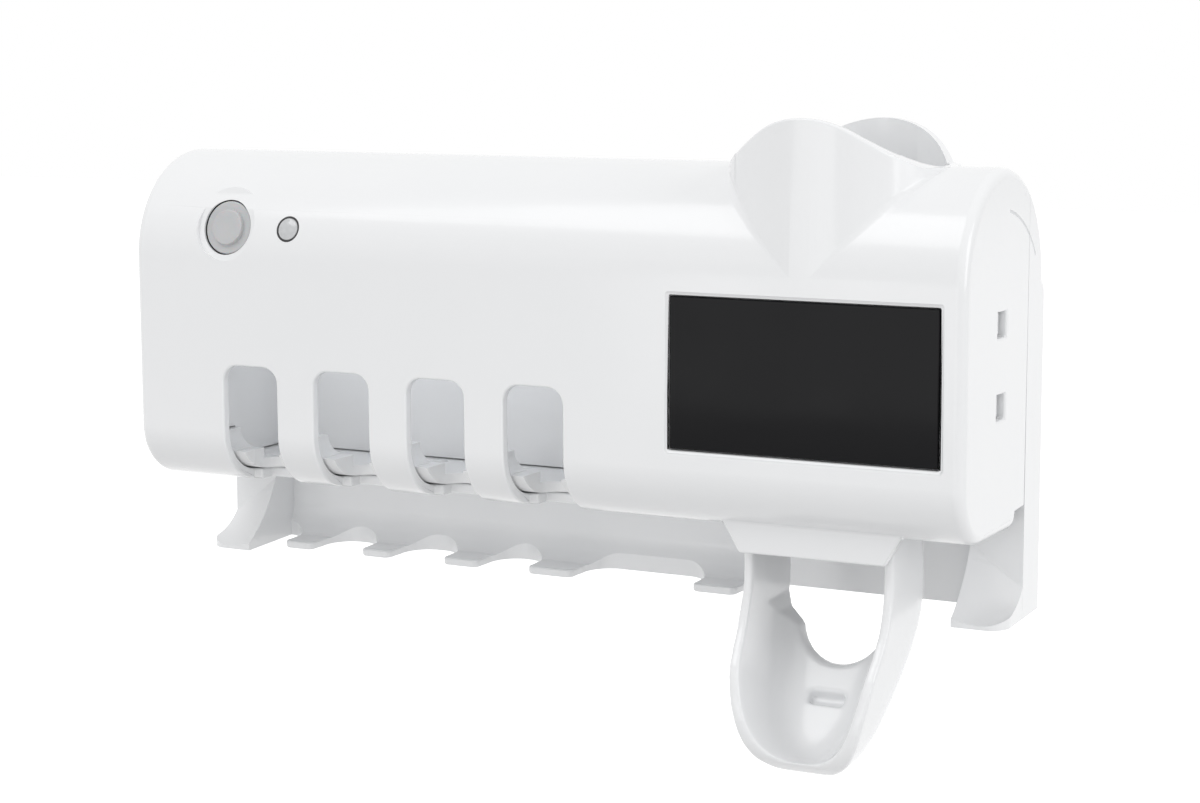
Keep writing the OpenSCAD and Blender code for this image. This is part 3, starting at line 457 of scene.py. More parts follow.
def casing_form(inset=0.0, bottom=0.0, toe=TOE_R, back=0.0):
    """The casing as a solid, drawn in by inset. With back, it runs on behind the wall plane, so
    that a cut there leaves its rear edges sharp."""
    x = HALF - inset
    run = [(back - inset, bottom + inset), (-ROOF_R, ROOF_Z, ROOF_R - inset, 0, 180, 112)]
    if back:
        run.insert(1, (back, ROOF_Z - back))
    if toe:
        run.append((toe - DEEP, toe, toe - inset, 180, 270, 28))
    else:
        run.append((inset - DEEP, bottom + inset))
    if inset:
        return plate(run, -x, x, along="x", name="casing_form")
    form = plate(run, END_R - x, x - END_R, along="x", name="casing_form")
    bm = bmesh.new()
    bm.from_mesh(form.data)
    for side in (-1, 1):
        bm.faces.ensure_lookup_table()
        end = max(bm.faces, key=lambda f: side * f.normal.x * f.calc_area())
        for k in range(END_STEPS):
            a, b = (math.pi / 2 / END_STEPS * j for j in (k, k + 1))
            bmesh.ops.inset_region(bm, faces=[end], thickness=END_R * (math.cos(a) - math.cos(b)),
                                   depth=END_R * (math.sin(b) - math.sin(a)), use_even_offset=True)
    bm.to_mesh(form.data)
    bm.free()
    return form


print("casing", 2 * HALF, "wide,", DEEP, "deep,", HIGH, "high, wall", WALL)

# %% [markdown]
# The tube's tower is a cylinder that is as round as the roof, so the two meet in a fold at
# 45 degrees. A mould maker never leaves such a fold sharp. A bevel would do it if the fold
# were an edge of even angle, but its angle opens from the front to the sides. So the soft
# corner is made as a ball leaves it when it rolls along the fold: one thin slice for every
# second degree, bridged to the next. The rim is then cut by two outlines, front and rear.

# %% Tower
TOWER_X, TOWER_TOP, BORE_R = 61.5, HIGH + 9.6, ROOF_R - WALL
COLUMN_Z, COLUMN_H = 66, 36
CROWN_R, ARCH_R, ARCH_LOWER = 18.0, 21.2, 1.3
RIM_HW, RIM_FOOT = 27, 40
# The fold's angles, its ball at its largest and least, and how deep a slice sinks and is rooted
FOLD, SOFT_R, LEAST_R, SINK, ROOT = range(5, 176, 2), 4.0, 0.05, 0.008, 0.85


def at_tower(item):
    """Moves a form that is drawn about X = 0 to the tower."""
    item.data.transform(Matrix.Translation((TOWER_X, 0, 0)))
    return item


def crease_fillet(side):
    """The soft corner in the fold of tower and roof, left by a ball that rolls along it. Both are
    equally round, so the ball's path is flat. The ball is largest in front and fades out at the
    tower's sides."""
    bm = bmesh.new()
    for degrees in FOLD:
        s, c = math.sin(math.radians(degrees)), math.cos(math.radians(degrees))
        ball = SOFT_R * c * c + LEAST_R
        centre = Vector((side * s, -c, s)) * (ROOF_R + ball)
        to_tower, to_roof = Vector((-side * s, c, 0)), Vector((0, c, -s))
        line = [bm.verts.new(Vector((side * s, -c, s)) * ROOT * ROOF_R)]
        for j in range(9):
            towards = to_tower.lerp(to_roof, j / 8).normalized()
            line.append(bm.verts.new(centre + towards * (ball + SINK)))
        loop = [bm.edges.new((v, w)) for v, w in zip(line, line[1:] + line[:1])]
        if degrees > FOLD[0]:
            bmesh.ops.bridge_loops(bm, edges=above + loop)
        if degrees in (FOLD[0], FOLD[-1]):
            bmesh.ops.contextual_create(bm, geom=loop)
        above = loop
    bmesh.ops.translate(bm, vec=(TOWER_X, -ROOF_R, ROOF_Z), verts=bm.verts)
    return as_object(bm, "crease_fillet")


def tower_column(rim):
    """The tower's cylinder with its soft folds, kept inside the outline of a rim."""
    column = rod((TOWER_X, -ROOF_R, COLUMN_Z), ROOF_R, COLUMN_H, segments=192)
    carve(column, "UNION", crease_fillet(-1), crease_fillet(1))
    return carve(column, "INTERSECT", at_tower(rim))


def tower_form():
    """The tower, cut to its saddle rim: a round crown with sloping shoulders in front and one
    round arch behind."""
    crown_z = TOWER_TOP - CROWN_R
    slope = 90 - math.degrees(math.atan2(HIGH - crown_z, BORE_R)
                              + math.acos(CROWN_R / math.hypot(BORE_R, HIGH - crown_z)))
    front_rim = plate([(-RIM_HW, RIM_FOOT), (-RIM_HW, HIGH), (-BORE_R, HIGH),
                       (0, crown_z, CROWN_R, 90 + slope, 90 - slope, 40),
                       (BORE_R, HIGH), (RIM_HW, HIGH), (RIM_HW, RIM_FOOT)], -DEEP - 5, -ROOF_R)
    arch_z = TOWER_TOP - ARCH_LOWER - ARCH_R
    low = math.degrees(math.asin((HIGH - arch_z) / ARCH_R))
    rear_rim = plate([(-RIM_HW, RIM_FOOT), (-RIM_HW, HIGH), (0, arch_z, ARCH_R, 180 - low, low, 48),
                      (RIM_HW, HIGH), (RIM_HW, RIM_FOOT)], -ROOF_R, 5)
    return carve(tower_column(front_rim), "UNION", tower_column(rear_rim))


def tower_bore():
    """The hole through the tower and the roof that the tube's shoulder goes down into."""
    return rod((TOWER_X, -ROOF_R, 70), BORE_R, 43, segments=160)


print("tower at", TOWER_X, "rim at", TOWER_TOP)

# %% [markdown]
# The front cover is the face of the holder: a shell that ends at the seam, with an apron
# under it that hides the lever's hinge. Its wall is the same all over, so it is carved: the
# outer form less the same form drawn in by the wall leaves the shell.

# %% Front cover: the shell
SEAM, SEAM_GAP = 9.5, 0.08
APRON = [(-20, 3), (-15.3, -5), (15.3, -5), (20, 3)]
APRON_FRONT, APRON_BACK = -38.3, -36.3
cover = carve(casing_form(), "UNION", tower_form())
carve(cover, "INTERSECT", block((-BEYOND, -60, -5), (BEYOND, -SEAM - SEAM_GAP / 2, 100)))
carve(cover, "DIFFERENCE", casing_form(WALL), tower_bore())
carve(cover, "UNION", at_tower(plate(APRON, APRON_FRONT, APRON_BACK, name="apron")))
print("cover shell:", measure(cover))

# %% [markdown]
# The windows are one cut each: a block with two rounded upper corners that runs out
# through the curved toe, so the opening reaches the underside. The panel sits in a thin
# recess, with a fine step round it. The lens goes through the roof 19 degrees above the
# horizontal. The button has a flat round seat that faces further forwards, so the seat is
# deep at its top and runs out at its foot. Their cutters stand on these tilted lines.

# %% Front cover: openings
SLOTS = [-65.4 + 23.0 * i for i in range(4)]
SLOT_HW, SLOT_TOP, SLOT_R, NOTCH_HW = 6.85, 26.2, 3.5, 4.8
PANEL_X, PANEL_Z, PANEL_W, PANEL_H = 62.1, 30.9, 55.6, 30.0
# The cutters of the front start this far out
BEFORE = -50
BUTTON_X, LENS_X, TILT = -71.6, -55.6, math.radians(19)
SEAT = (BUTTON_X, -0.8, math.radians(13))
SEAT_R, BUTTON_HOLE_R, LENS_HOLE_R = 7.3, 5.97, 2.8


def on_roof(x, height=0.0, lean=TILT):
    """Turns a form about Z so that it stands on the roof at x, pointing out at the angle lean."""
    up = Vector((0, -math.cos(TILT), math.sin(TILT)))
    out = Vector((0, -math.cos(lean), math.sin(lean)))
    spot = Vector((x, -ROOF_R, ROOF_Z)) + up * ROOF_R + out * height
    return Matrix.Translation(spot) @ out.to_track_quat("Z", "Y").to_matrix().to_4x4()


def standing(item, *place):
    """Stands a form that is made about Z on the roof."""
    item.data.transform(on_roof(*place))
    return item


def panel_block(margin, front, back, rounds=(), name="panel_block"):
    """A block with the panel's outline and a margin round it."""
    half_w, half_h = PANEL_W / 2 + margin, PANEL_H / 2 + margin
    return block((PANEL_X - half_w, front, PANEL_Z - half_h), (PANEL_X + half_w, back, PANEL_Z + half_h),
                 rounds, name)


windows = [block((x - SLOT_HW, BEFORE, -3), (x + SLOT_HW, -34, SLOT_TOP),
                 [(lambda p: p.z > SLOT_TOP - 0.2, SLOT_R, 10)], "window") for x in SLOTS]
notches = [block((x - NOTCH_HW, -45, -3), (x + NOTCH_HW, -30.5, 4), name="notch") for x in SLOTS]
carve(cover, "UNION", panel_block(2, -DEEP + 1, -DEEP + 3.2, name="panel_bed"))
carve(cover, "DIFFERENCE", *windows, *notches,
      panel_block(0.3, BEFORE, -DEEP + 1.8, [(every, 0.4, 3)], "panel_recess"))
carve(cover, "UNION", standing(rod((0, 0, -3.2), SEAT_R + 1.5, 4, segments=96), *SEAT))
carve(cover, "DIFFERENCE", panel_block(1.2, BEFORE, -DEEP + 0.35, [(every, 1.0, 4)], "frame_step"),
      standing(rod((0, 0, 3), SEAT_R, 6, segments=128), *SEAT),
      standing(rod((0, 0, -1), BUTTON_HOLE_R, 10, segments=96), *SEAT),
      standing(rod((0, 0, -1), LENS_HOLE_R, 8), LENS_X),
      block((TOWER_X - 16.4, -36.31, -1), (TOWER_X + 16.4, -5, 2.6), name="lever_opening"))
print("cover with openings:", measure(cover))

# %% [markdown]
# The ends carry small marks of how the holder is made: two square windows where the rear
# housing's hooks catch, an arc pressed beside the roof, and at the left the window of the
# charging socket. The lower rear corners are cut away for the feet. Rims are rounded only
# where the edge is long and even: below the roof, and on the tower's front crown.

# %% Front cover: ends
LATCHES = (25.3, 41.2)
SOCKET_Y, SOCKET_Z = -20, 48
ARC_R, ARC_DEEP = 24.3, 0.3
for side in (-1, 1):
    latch_windows = [block((side * HALF - 4, -27, z - 2.5), (side * HALF + 4, -22, z + 2.5)) for z in LATCHES]
    rear_notch = plate([(-8, -4), (-19, -4), (-19, 0), (-19, 4, 4, -90, -8, 8), (-8, 3.8)],
                       side * 90.5 - 6.6, side * 90.5 + 6.6, along="x", name="rear_notch")
    carve(cover, "DIFFERENCE", *latch_windows, rear_notch)
carve(cover, "DIFFERENCE", block((-HALF - 10, SOCKET_Y - 4.5, SOCKET_Z - 2),
                                 (-HALF + 10, SOCKET_Y + 4.5, SOCKET_Z + 2), [(every, 1.2, 4)]))


def arc_groove():
    """The fine arc pressed into the right end, as a ring that is cut to its stretch."""
    ring = turned([(ARC_R, -0.5), (ARC_R + ARC_DEEP, 0), (ARC_R, 0.5), (ARC_R - ARC_DEEP, 0)],
                  steps=160, ring=True, name="arc_groove")
    ring.data.transform(Matrix.Translation((HALF, -25.2, 38.7)) @ AXES["x"])
    return carve(ring, "INTERSECT", block((90, -21.4, 45), (100, -5.8, 70)))


carve(cover, "DIFFERENCE", arc_groove())
round_edges(cover, 0.45, 34, where=lambda p: p.z < 45 or p.z > 73.5 and p.y < -24)
piece(cover, "casing_cover", glossy_white, "holder", "front_cover", slot="cover")

# %% [markdown]
# The rear housing closes the casing and hangs on the wall. Its shell has the same outline
# as the cover, so their outsides meet without a step, but it runs on down as a thin wall
# plate with a foot at each end. A foot could be one cut through the plate, but its hollow
# changes from a slope inside to a quarter round outside, so it is bridged from nine
# outlines. The ledge that carries the brushes' handles is a shelf with a hollow top, cut to
# a plan of teeth and scallops.

# %% Rear housing: feet and ledge
FOOT_IN, LIP, TIP, LOWEST = 84.0, -20.5, -15.0, -26.0
FOOT_STEPS = 8
INNER_SWEEP, OUTER_SWEEP = (-37.3, 6.8, 30, -55.9, -16.1), (-19.0, -5, 12.5, -88, 0)
TEETH = [(-74.5, 3.8), (-53.9, 3.8), (-31.9, 4.5), (-9.5, 5.5), (29.5, 5.0)]
LEDGE_START, LEDGE_END, LEDGE_FRONT = -85, 40.5, -3.6
SCALLOP_R, TOOTH_R = 6, 1.6
# All forms of the back reach this far behind the wall plane until it is cut flat
BEHIND = 4


def under(y):
    """The height of the underside, which slopes down from the wall to the lips."""
    return -18.8 + 0.045 * y


def foot_form(side):
    """One foot: it sweeps from the wall plate out to a thin lip, in a slope inside and in a hollow
    curve outside."""
    bm = bmesh.new()
    for k in range(FOOT_STEPS + 1):
        share = k / FOOT_STEPS
        sweep = [p + (q - p) * share for p, q in zip(INNER_SWEEP, OUTER_SWEEP)]
        line = chain(bm, [(BEHIND, 3.4), (BEHIND, LOWEST), (LIP - 1, LOWEST), (LIP - 1, -18),
                          (*sweep, 28), (-8.5 + 2 * share, 3.4)])
        loop = [bm.edges.get((v, w)) for v, w in zip(line, line[1:])]
        loop.append(bm.edges.new((line[-1], line[0])))
        bmesh.ops.translate(bm, vec=(0, -side * (FOOT_IN + (95.4 - FOOT_IN) * share), 0), verts=line)
        if k:
            bmesh.ops.bridge_loops(bm, edges=above + loop)
        if k in (0, FOOT_STEPS):
            bmesh.ops.contextual_create(bm, geom=loop)
        above = loop
    bmesh.ops.rotate(bm, cent=(0, 0, 0), matrix=Matrix.Rotation(math.pi / 2, 3, "Z"), verts=bm.verts)
    plan = plate([(side * 80, 10), (side * 80, LIP), (side * 91, LIP + 4, 4, -90, -90 + side * 90, 10),
                  (side * 95.3, -14), (side * 99, 10)], -30, 10, along="z", name="foot_plan")
    return carve(as_object(bm, "foot"), "INTERSECT", plan)


def ledge_form():
    """The ledge that the brushes' handles rest against: one thin shelf, scalloped between its
    teeth."""
    shelf = plate([(-1, -11.4), (-1, -24), (-30, -24), (-30, under(-30) + 2.4),
                   (-8.7, -11.4, 6.5, -80, 0, 12)], LEDGE_START, LEDGE_END, along="x", name="ledge")
    front = [(LEDGE_START, 5), (LEDGE_START, LEDGE_FRONT)]
    for x, half in TEETH:
        front += [(x - half - SCALLOP_R, LEDGE_FRONT - SCALLOP_R, SCALLOP_R, 90, 0, 10),
                  (x - half + TOOTH_R, TIP + TOOTH_R, TOOTH_R, 180, 270, 6),
                  (x + half - TOOTH_R, TIP + TOOTH_R, TOOTH_R, 270, 360, 6),
                  (x + half + SCALLOP_R, LEDGE_FRONT - SCALLOP_R, SCALLOP_R, 180, 90, 10)]
    front += [(LEDGE_END + 2, LEDGE_FRONT), (LEDGE_END + 2, 5)]
    return carve(shelf, "INTERSECT", plate(front, -30, 10, along="z", name="ledge_plan"))


print("teeth of the ledge at", [x for x, half in TEETH])

# %% [markdown]
# The shell and the feet are made one by one and then united, because cut out of one form in
# a single step they came out with open edges. The feet are drawn in by a hair, because two
# faces in one plane are what a boolean cut handles worst. All of it reaches a little behind
# the wall plane until one cut makes the back flat, and a sloping cut evens the underside.

# %% Rear housing: shell, wall plate and feet
HAIR = 0.02
rear = carve(casing_form(0, LOWEST + 1, 0, back=BEHIND), "INTERSECT",
             block((-BEYOND, -SEAM + SEAM_GAP / 2, -30), (BEYOND, 3, 100)))
for side in (-1, 1):
    foot_casing = casing_form(HAIR, LOWEST + 1, 0, back=BEHIND)
    carve(rear, "UNION", carve(foot_casing, "INTERSECT", foot_form(side)))
carve(rear, "INTERSECT", block((-BEYOND, -60, -31), (BEYOND, 0, 101)))
tower_back = carve(tower_form(), "INTERSECT", block((20, -SEAM + SEAM_GAP / 2, 55), (100, 5, 100)))
carve(rear, "UNION", tower_back)
carve(rear, "DIFFERENCE", casing_form(WALL), block((-FOOT_IN, -50, -30), (FOOT_IN, -WALL, 0)),
      tower_bore())
carve(rear, "UNION", ledge_form())
carve(rear, "DIFFERENCE", arc_groove(),
      plate([(6, under(6)), (-40, under(-40)), (-40, -60), (6, -60)], -BEYOND, BEYOND, along="x"))
round_edges(rear, 0.4, 40, where=lambda p: p.z < -14 and p.y < -10.5 and abs(p.x) < FOOT_IN - 1)
print("rear shell:", measure(rear))

# %% [markdown]
# Inside and at the back the housing has what a screwed and hung plastic part needs: posts
# for the six screws, sunk for their heads, a tongue with a hook behind each window in the
# ends, two keyholes to hang it by, and three shallow beds for adhesive pads.

# %% Rear housing: posts, hooks and keyholes
SCREWS = [(-86, 39), (-86, 12), (28, 50), (28, 12), (88, 50), (88, 14.5)]
POST_R, SCREW_HOLE_R, HEAD_HOLE_R = 4, 1.7, 3
PADS, PAD_Z, PAD_HW, PAD_HH, PAD_FIT, PAD_R = (-72, 0, 72), 22, 15, 8, 0.3, 1.5
posts = [rod((x, -8.2, z), POST_R, 13.4, along="y", segments=48) for x, z in SCREWS]
posts += [rod((-69, -3.3, z), 2.2, 3.7, along="y", segments=32) for z in (21, 39)]
tongues, hooks = [], []
for side in (-1, 1):
    for z in LATCHES:
        tongues.append(block((side * 91.7 - 0.8, -27.8, z - 2.1), (side * 91.7 + 0.8, -1.2, z + 2.1)))
        hooks.append(block((side * 92.8 - 0.7, -26.3, z - 2.05), (side * 92.8 + 0.7, -22.7, z + 2.05),
                           [(lambda p: p.y < -26, 0.5, 3)]))
carve(rear, "UNION", *posts, *tongues)
carve(rear, "UNION", *hooks)
keyholes = [plate([(x - 2.2, 49), (x, 42, 4.2, 121.6, 418.4, 40), (x, 49, 2.2, 0, 180, 16)], -4, 3)
            for x in (-58, 42)]
beds = [block((x - PAD_HW - PAD_FIT, -1, PAD_Z - PAD_HH - PAD_FIT),
              (x + PAD_HW + PAD_FIT, 3, PAD_Z + PAD_HH + PAD_FIT), name="pad_bed") for x in PADS]
carve(rear, "DIFFERENCE", *keyholes, *beds,
      *[rod((x, -8, z), SCREW_HOLE_R, 20, along="y", segments=32) for x, z in SCREWS],
      *[rod((x, -3.75, z), HEAD_HOLE_R, 9.5, along="y", segments=48) for x, z in SCREWS])
piece(rear, "wall_housing", glossy_white, "holder", "rear_housing", slot="housing")

# %% [markdown]
# The lever is a spoon hung on two cheeks. On the real part it is one moulding, two
# millimetres thick, that a brush or a fingertip pushes towards the wall. Its level sections
# change from a plain U at the hinge to a wide shallow dish below, so it is built like a
# boat: one rounded U for each level, bridged from ring to ring, and a second, smaller form
# taken out of it for the hollow.

# %% Lever: the scoop
LEVER_HW, LEVER_T, LEVER_DROP = 15.8, 2.0, 47.4
LEVELS = [(3, 10, 27.2, 1, 0.12), (-4, 10, 28.6, 1, 0.12), (-12, 9.8, 29.6, 1.005, 0.14),
          (-19.1, 7, 28, 1.005, 0.18), (-26.3, 2, 23.5, 0.965, 0.22), (-33.4, 0.1, 18.5, 0.88, 0.28),
          (-38.8, 0.4, 14.8, 0.77, 0.36), (-42.5, 1.8, 11.6, 0.62, 0.45), (-44.7, 4, 8.8, 0.42, 0.55),
          (-45.4, 5.6, 7, 0.24, 0.65)]
TO_DROP = -LEVELS[-1][0]


def between(levels, u):
    """Height, rim, back, width share and bend at u levels down, on a smooth curve through all."""
    k = min(int(u), len(levels) - 2)
    t = u - k
    a, b, c, d = (levels[max(0, min(len(levels) - 1, k + i))] for i in (-1, 0, 1, 2))
    return [q + t * ((r - p) + t * ((2 * p - 5 * q + 4 * r - s) + t * (3 * q - 3 * r + s - p))) / 2
            for p, q, r, s in zip(a, b, c, d)]


def scoop_form(inset, front, drop, round_in, rings=44, steps=64):
    """The lever's outside, or its hollow when drawn in by inset and carried out through the
    front."""
    bm = bmesh.new()
    for k in range(rings + 1):
        z, rim, back, share, bend = between(LEVELS, (len(LEVELS) - 1) * k / rings)
        bend += round_in
        half, depth = LEVER_HW * share - inset, back - inset - rim + front
        ring = bmesh.ops.create_circle(bm, segments=2 * steps, radius=1)["verts"]
        for v in ring:
            c, s = v.co.x, v.co.y
            wide = math.copysign(abs(c) ** bend, c) if s > 0 else c
            v.co = (TOWER_X + half * wide, rim - front - DEEP + depth * max(s, 0) ** bend,
                    (z + drop * k / rings) * LEVER_DROP / TO_DROP)
        loop = list({e for v in ring for e in v.link_edges})
        if k:
            bmesh.ops.bridge_loops(bm, edges=above + loop)
        if k in (0, rings):
            bmesh.ops.contextual_create(bm, geom=loop)
        above = loop
    return as_object(bm, "scoop_form")


NOTCH_X = LEVER_HW - LEVER_T - 0.1
inside = LEVER_HW - LEVER_T
lever = carve(scoop_form(0, 0, 0, 0), "DIFFERENCE", scoop_form(LEVER_T, 9, LEVER_T + 0.6, 0.25),
              block((TOWER_X - inside, -DEEP, 2), (TOWER_X + inside, 0, 6)))
back_hole = plate([(-NOTCH_X, 8), (-NOTCH_X, -16.5), (1 - NOTCH_X, -19.5), (0, -19.4, 9.6, 199, 341, 40),
                   (NOTCH_X - 1, -19.5), (NOTCH_X, -16.5), (NOTCH_X, 8)], -34, -8)
pocket = block((-3.7, -1.3, -1.6), (3.7, 1.3, 1.6), [(every, 0.4, 3)])
spot = Matrix.Translation((TOWER_X, 16 - DEEP, -35))
pocket.data.transform(spot @ Matrix.Rotation(math.radians(38), 4, "X"))
carve(lever, "DIFFERENCE", at_tower(back_hole), pocket)
mould(lever, 0.3, 30)
print("moulded scoop:", measure(lever))

# %% [markdown]
# The cheeks carry the scoop on its pins, and a round rod between their tails pushes the
# press block. They stay out of the melted skin, so that their holes and edges are crisp.

# %% Lever: cheeks and push rod
PIVOT, PIVOT_R = (-30.0, 6.0), 1.58
PUSH_ROD, PUSH_ROD_R = (-12.5, 18.0), 1.8
# The cheeks' sides stay this far inside the scoop's
SHY = 0.05


def cheek(side):
    """One arm, from the scoop's top over the hinge to the push rod: straight edges that touch two
    eyes."""
    outline = [(-34.8, 1.5), (-17.8, 1.5), (*PUSH_ROD, 3.2, -28.4, 119.5, 20),
               (*PIVOT, 5.0, 119.5, 182.7, 12)]
    arm = plate(outline, SHY - LEVER_T / 2, LEVER_T / 2 - SHY, along="x", name="cheek")
    arm.data.transform(Matrix.Translation((TOWER_X + side * (LEVER_HW - LEVER_T / 2), 0, 0)))
    return arm


carve(lever, "UNION", cheek(-1), cheek(1),
      rod((TOWER_X, *PUSH_ROD), PUSH_ROD_R, 2 * LEVER_HW - 1, along="x"))
carve(lever, "DIFFERENCE", rod((TOWER_X, *PIVOT), PIVOT_R, 60, along="x"))
piece(lever, "scoop_lever", glossy_white, "lever", "lever", slot="cover")

# %% [markdown]
# The button is a frosted grey cap with a raised rim round a shallow finger dish. It is a
# turned part on the real object too, so it is turned here: half its section, once round.
# The same goes for the lens, a milky plug with a low dome over the lamp behind it. A thin
# dark ring down in each gap is painted shade, which darkens the gaps round the button and the lens.

# %% Button and lens
cap = turned([(0, 0.28), (2.2, 0.24), (3.5, 0.1, 0.3, 80, 10, 5), (3.95, -0.5), (4.3, -0.52),
              (5.37, -0.75, 0.35, 90, 0, 6), (5.72, -3.4), (6.6, -3.4), (6.6, -4.2), (4.4, -4.2),
              (4.4, -1.8), (1.6, -1.8), (1.6, -3.9), (0, -3.9)], name="button")
piece(standing(cap, *SEAT), "finger_button", frosted_grey, "button", "power_button", slot="button")
# A black ring down in the button's gap: painted shade.
button_gap_shade = turned([(5.88, -1.5), (5.95, -1.5), (5.95, -0.5), (5.88, -0.5)], ring=True, name="button_gap_shade")
piece(standing(button_gap_shade, *SEAT), "button_gap_shade_ring", black_moulding, "holder", slot="black_parts")
lens = turned([(0, 0.35), (0.9, 0.32), (1.7, 0.2), (2.1, 0.03), (2.15, -0.15, 0.2, 60, 0, 4),
               (2.35, -2.8), (3.5, -2.8), (3.5, -3.6), (0, -3.6)], name="lens")
piece(standing(lens, LENS_X), "indicator_lens", milky_lens, "holder", "status_lens", slot="clear_plastic")
# A black ring down in the lens's gap: painted shade.
lens_gap_shade = turned([(2.4, -2.7), (2.78, -2.7), (2.78, -0.12), (2.4, -0.12)], ring=True, name="lens_gap_shade")
piece(standing(lens_gap_shade, LENS_X), "lens_gap_shade_ring", black_moulding, "holder", slot="black_parts")

# %% [markdown]
# The solar panel is a slab of black glass in a thin recess. Its front edge is ground at a
# small angle, so that a thin line of light runs round it.

# %% Panel glass
GLASS_FRONT, GLASS_BACK = -DEEP + 0.15, -DEEP + 0.95
glass = panel_block(0, GLASS_FRONT, GLASS_BACK, [(lambda p: p.y < GLASS_FRONT + 0.05, 0.22, 2)], "glass")
piece(glass, "panel_glass", panel_black, "holder", "solar_glass", slot="panel_front")

# %% [markdown]
# The tube stands in a funnel in the tower. The funnel is white, a soft grey collar with
# three sealing ribs grips the tube's neck, and below it a milky silicone sleeve is squeezed
# by the lever. All are round, so all are turned, with the roundings drawn as arcs. The
# sleeve is divided into short rings; on the real part it is flattened when the lever is pressed.

# %% Funnel, collar, sleeve and valve
SEAT_Z, COLLAR_Z, COLLAR_H = 50.4, 37.5, 12.0
NECK_R, GROOVE_R, RIB_STEP = 6.5, 6.75, 2.8
SLEEVE_LOW, SLEEVE_HIGH = 12.75, 33.8
CENTRE = (TOWER_X, -ROOF_R, 0)
funnel = turned([(7.5, SEAT_Z), (11.5, SEAT_Z), (20.0, SEAT_Z + 8), (20.0, SEAT_Z + 13.1),
                 (19.1, SEAT_Z + 13.1, 0.9, 0, 180, 10), (18.2, SEAT_Z + 9), (10.5, SEAT_Z + 2),
                 (8.1, SEAT_Z + 1.4, 0.6, 90, 180, 5)], CENTRE, ring=True, steps=128, name="funnel")
piece(funnel, "tube_funnel", glossy_white, "holder", "tube_seat", slot="cover", smooth=40)
top = COLLAR_Z + COLLAR_H
profile = [(8.2, COLLAR_Z), (8.2, top - 1), (9.3, top - 0.6, 0.4, -90, 0, 5), (9.3, top + 0.2, 0.4, 0, 90, 5),
           (7.0, top + 0.1, 0.5, 90, 180, 6)]
for rib in (2, 2 + RIB_STEP):
    profile += [(NECK_R, top - rib), (GROOVE_R, top - rib - 0.4), (GROOVE_R, top - rib - 1.4),
                (NECK_R, top - rib - 1.8)]
profile += [(NECK_R, top - 2 - 2 * RIB_STEP), (GROOVE_R, top - 8), (GROOVE_R, COLLAR_Z)]
collar = turned(profile, CENTRE, ring=True, name="collar")
piece(collar, "sealing_collar", soft_grey, "holder", "neck_collar", slot="soft_grey")
sleeve = turned([(4.7, SLEEVE_LOW, 0.3, -90, 0, 4), (5.0, 14.2), (4.86, 14.8), (4.86, 31.6), (5.0, 32.2),
                 (4.7, SLEEVE_HIGH, 0.3, 0, 90, 4), (4.3, SLEEVE_HIGH, 0.3, 90, 180, 4),
                 (4.0, SLEEVE_LOW + 0.3), (4.3, SLEEVE_LOW, 0.3, 180, 270, 4)],
                CENTRE, ring=True, name="sleeve")
sleeve = piece(sleeve, "pump_sleeve", milky_silicone, "holder", "squeeze_sleeve", slot="soft_clear")
bm = bmesh.new()
bm.from_mesh(sleeve.data)
bmesh.ops.subdivide_edges(bm, edges=[e for e in bm.edges if e.calc_length() > 0.01], cuts=16)
bm.to_mesh(sleeve.data)
bm.free()
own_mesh(sleeve)
valve = turned([(0, -2.65), (3.2, -2.65), (3.95, 0.8), (4.55, 0.65, 0.15, 90, 0, 3),
                (4.62, -1.66, 0.1, 0, -45, 3), (1.2, -4.4), (0, -4.4)], CENTRE, name="valve")
slits = [block((TOWER_X - a, -ROOF_R - b, -6), (TOWER_X + a, -ROOF_R + b, 0))
         for a, b in ((0.9, 0.1), (0.1, 0.9))]
carve(valve, "DIFFERENCE", *slits)
piece(valve, "duckbill_valve", soft_grey, "holder", "outlet_valve", slot="soft_grey")

# %% [markdown]
# The return spring is a wound wire: a small circle, spun round the pin while it moves
# along it, and drawn out first into the straight leg that rests on the pump frame. The face
# that leg and coil share inside the wire is taken out. The three pads are foam tape, drawn
# out from one outline with round corners.

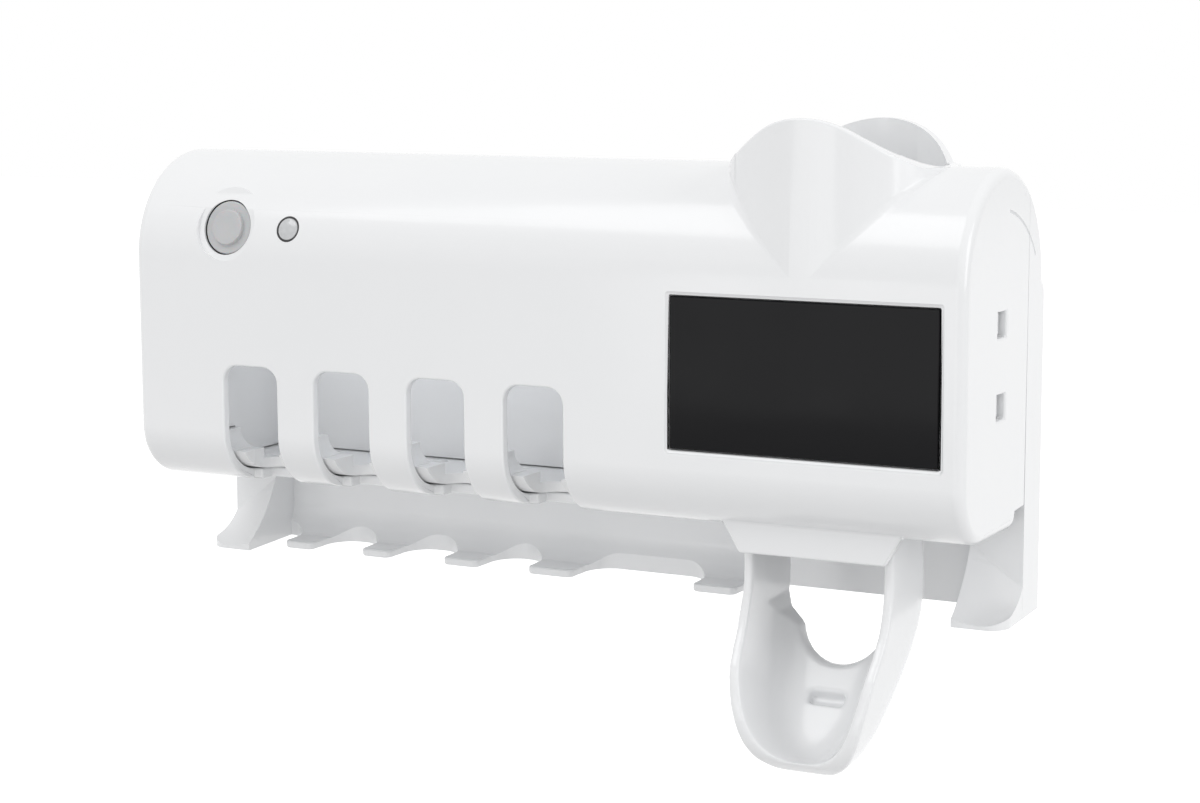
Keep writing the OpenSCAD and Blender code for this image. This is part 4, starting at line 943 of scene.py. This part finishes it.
# %% Return spring and wall pads
WIRE_R, COIL_R, TURNS, COIL_STEP, SPRING_LEG = 0.4, 2.5, 4, 0.96, 10
PER_TURN = 32
bm = bmesh.new()
start = Vector((TOWER_X + LEVER_HW - LEVER_T - 4.6, PIVOT[0] + COIL_R, PIVOT[1]))
bmesh.ops.create_circle(bm, segments=12, radius=WIRE_R, cap_ends=True, matrix=Matrix.Translation(start))
leg = bmesh.ops.extrude_face_region(bm, geom=list(bm.faces))
bmesh.ops.translate(bm, vec=(0, 0, SPRING_LEG), verts=moved(leg))
turning = [f for f in bm.faces if all(abs(v.co.z - PIVOT[1]) < 0.01 for v in f.verts)]
bmesh.ops.spin(bm, geom=turning, cent=(0, *PIVOT), axis=(-1, 0, 0), angle=TURNS * math.tau,
               steps=TURNS * PER_TURN, dvec=(COIL_STEP / PER_TURN, 0, 0))
shared = [f for f in bm.faces if all(len(e.link_faces) > 2 for e in f.edges)]
bmesh.ops.delete(bm, geom=shared, context="FACES_ONLY")
piece(as_object(bm, "spring"), "return_spring", steel, "holder", "lever_spring", slot="steel", smooth=60)


def pad_form(x):
    """One pad, with its front in its bed and its back in the wall plane."""
    across, up = PAD_HW - PAD_R, PAD_HH - PAD_R
    corners = ((-across, -up, 180), (across, -up, 270), (across, up, 0), (-across, up, 90))
    return plate([(x + a, PAD_Z + b, PAD_R, start, start + 90, 6) for a, b, start in corners], -0.95, 0)


pads = carve(pad_form(PADS[0]), "UNION", *[pad_form(x) for x in PADS[1:]])
piece(pads, "adhesive_pads", foam_pad, "holder", "wall_pads", slot="pad")

# %% [markdown]
# A CAD node comes as loose triangles with sharp corners. Real mouldings have small round
# edges that catch the light, so the nodes that show are welded, bevelled and shaded smooth
# by live modifiers, which leave the node's own mesh as it is.


# %% Soft edges on nodes that show
def soft_edges(item, width, angle=30.0, steps=2):
    """Welds a node, rounds its sharp edges and keeps its flat faces flat in the shading."""
    weld = item.modifiers.new("weld", "WELD")
    weld.merge_threshold = 0.00001
    bevel = item.modifiers.new("round_edges", "BEVEL")
    bevel.width = width
    bevel.segments = steps
    bevel.limit_method = "ANGLE"
    bevel.angle_limit = math.radians(angle)
    bevel.harden_normals = True
    normal = item.modifiers.new("flat_faces", "WEIGHTED_NORMAL")
    normal.keep_sharp = True
    for p in item.data.polygons:
        p.use_smooth = True


for name, width in (("brush_tray", 0.00012), ("chamber_liner", 0.00012), ("nozzle", 0.0002)):
    soft_edges(nodes[name], width)
print("soft edges on the tray, the liner and the nozzle")
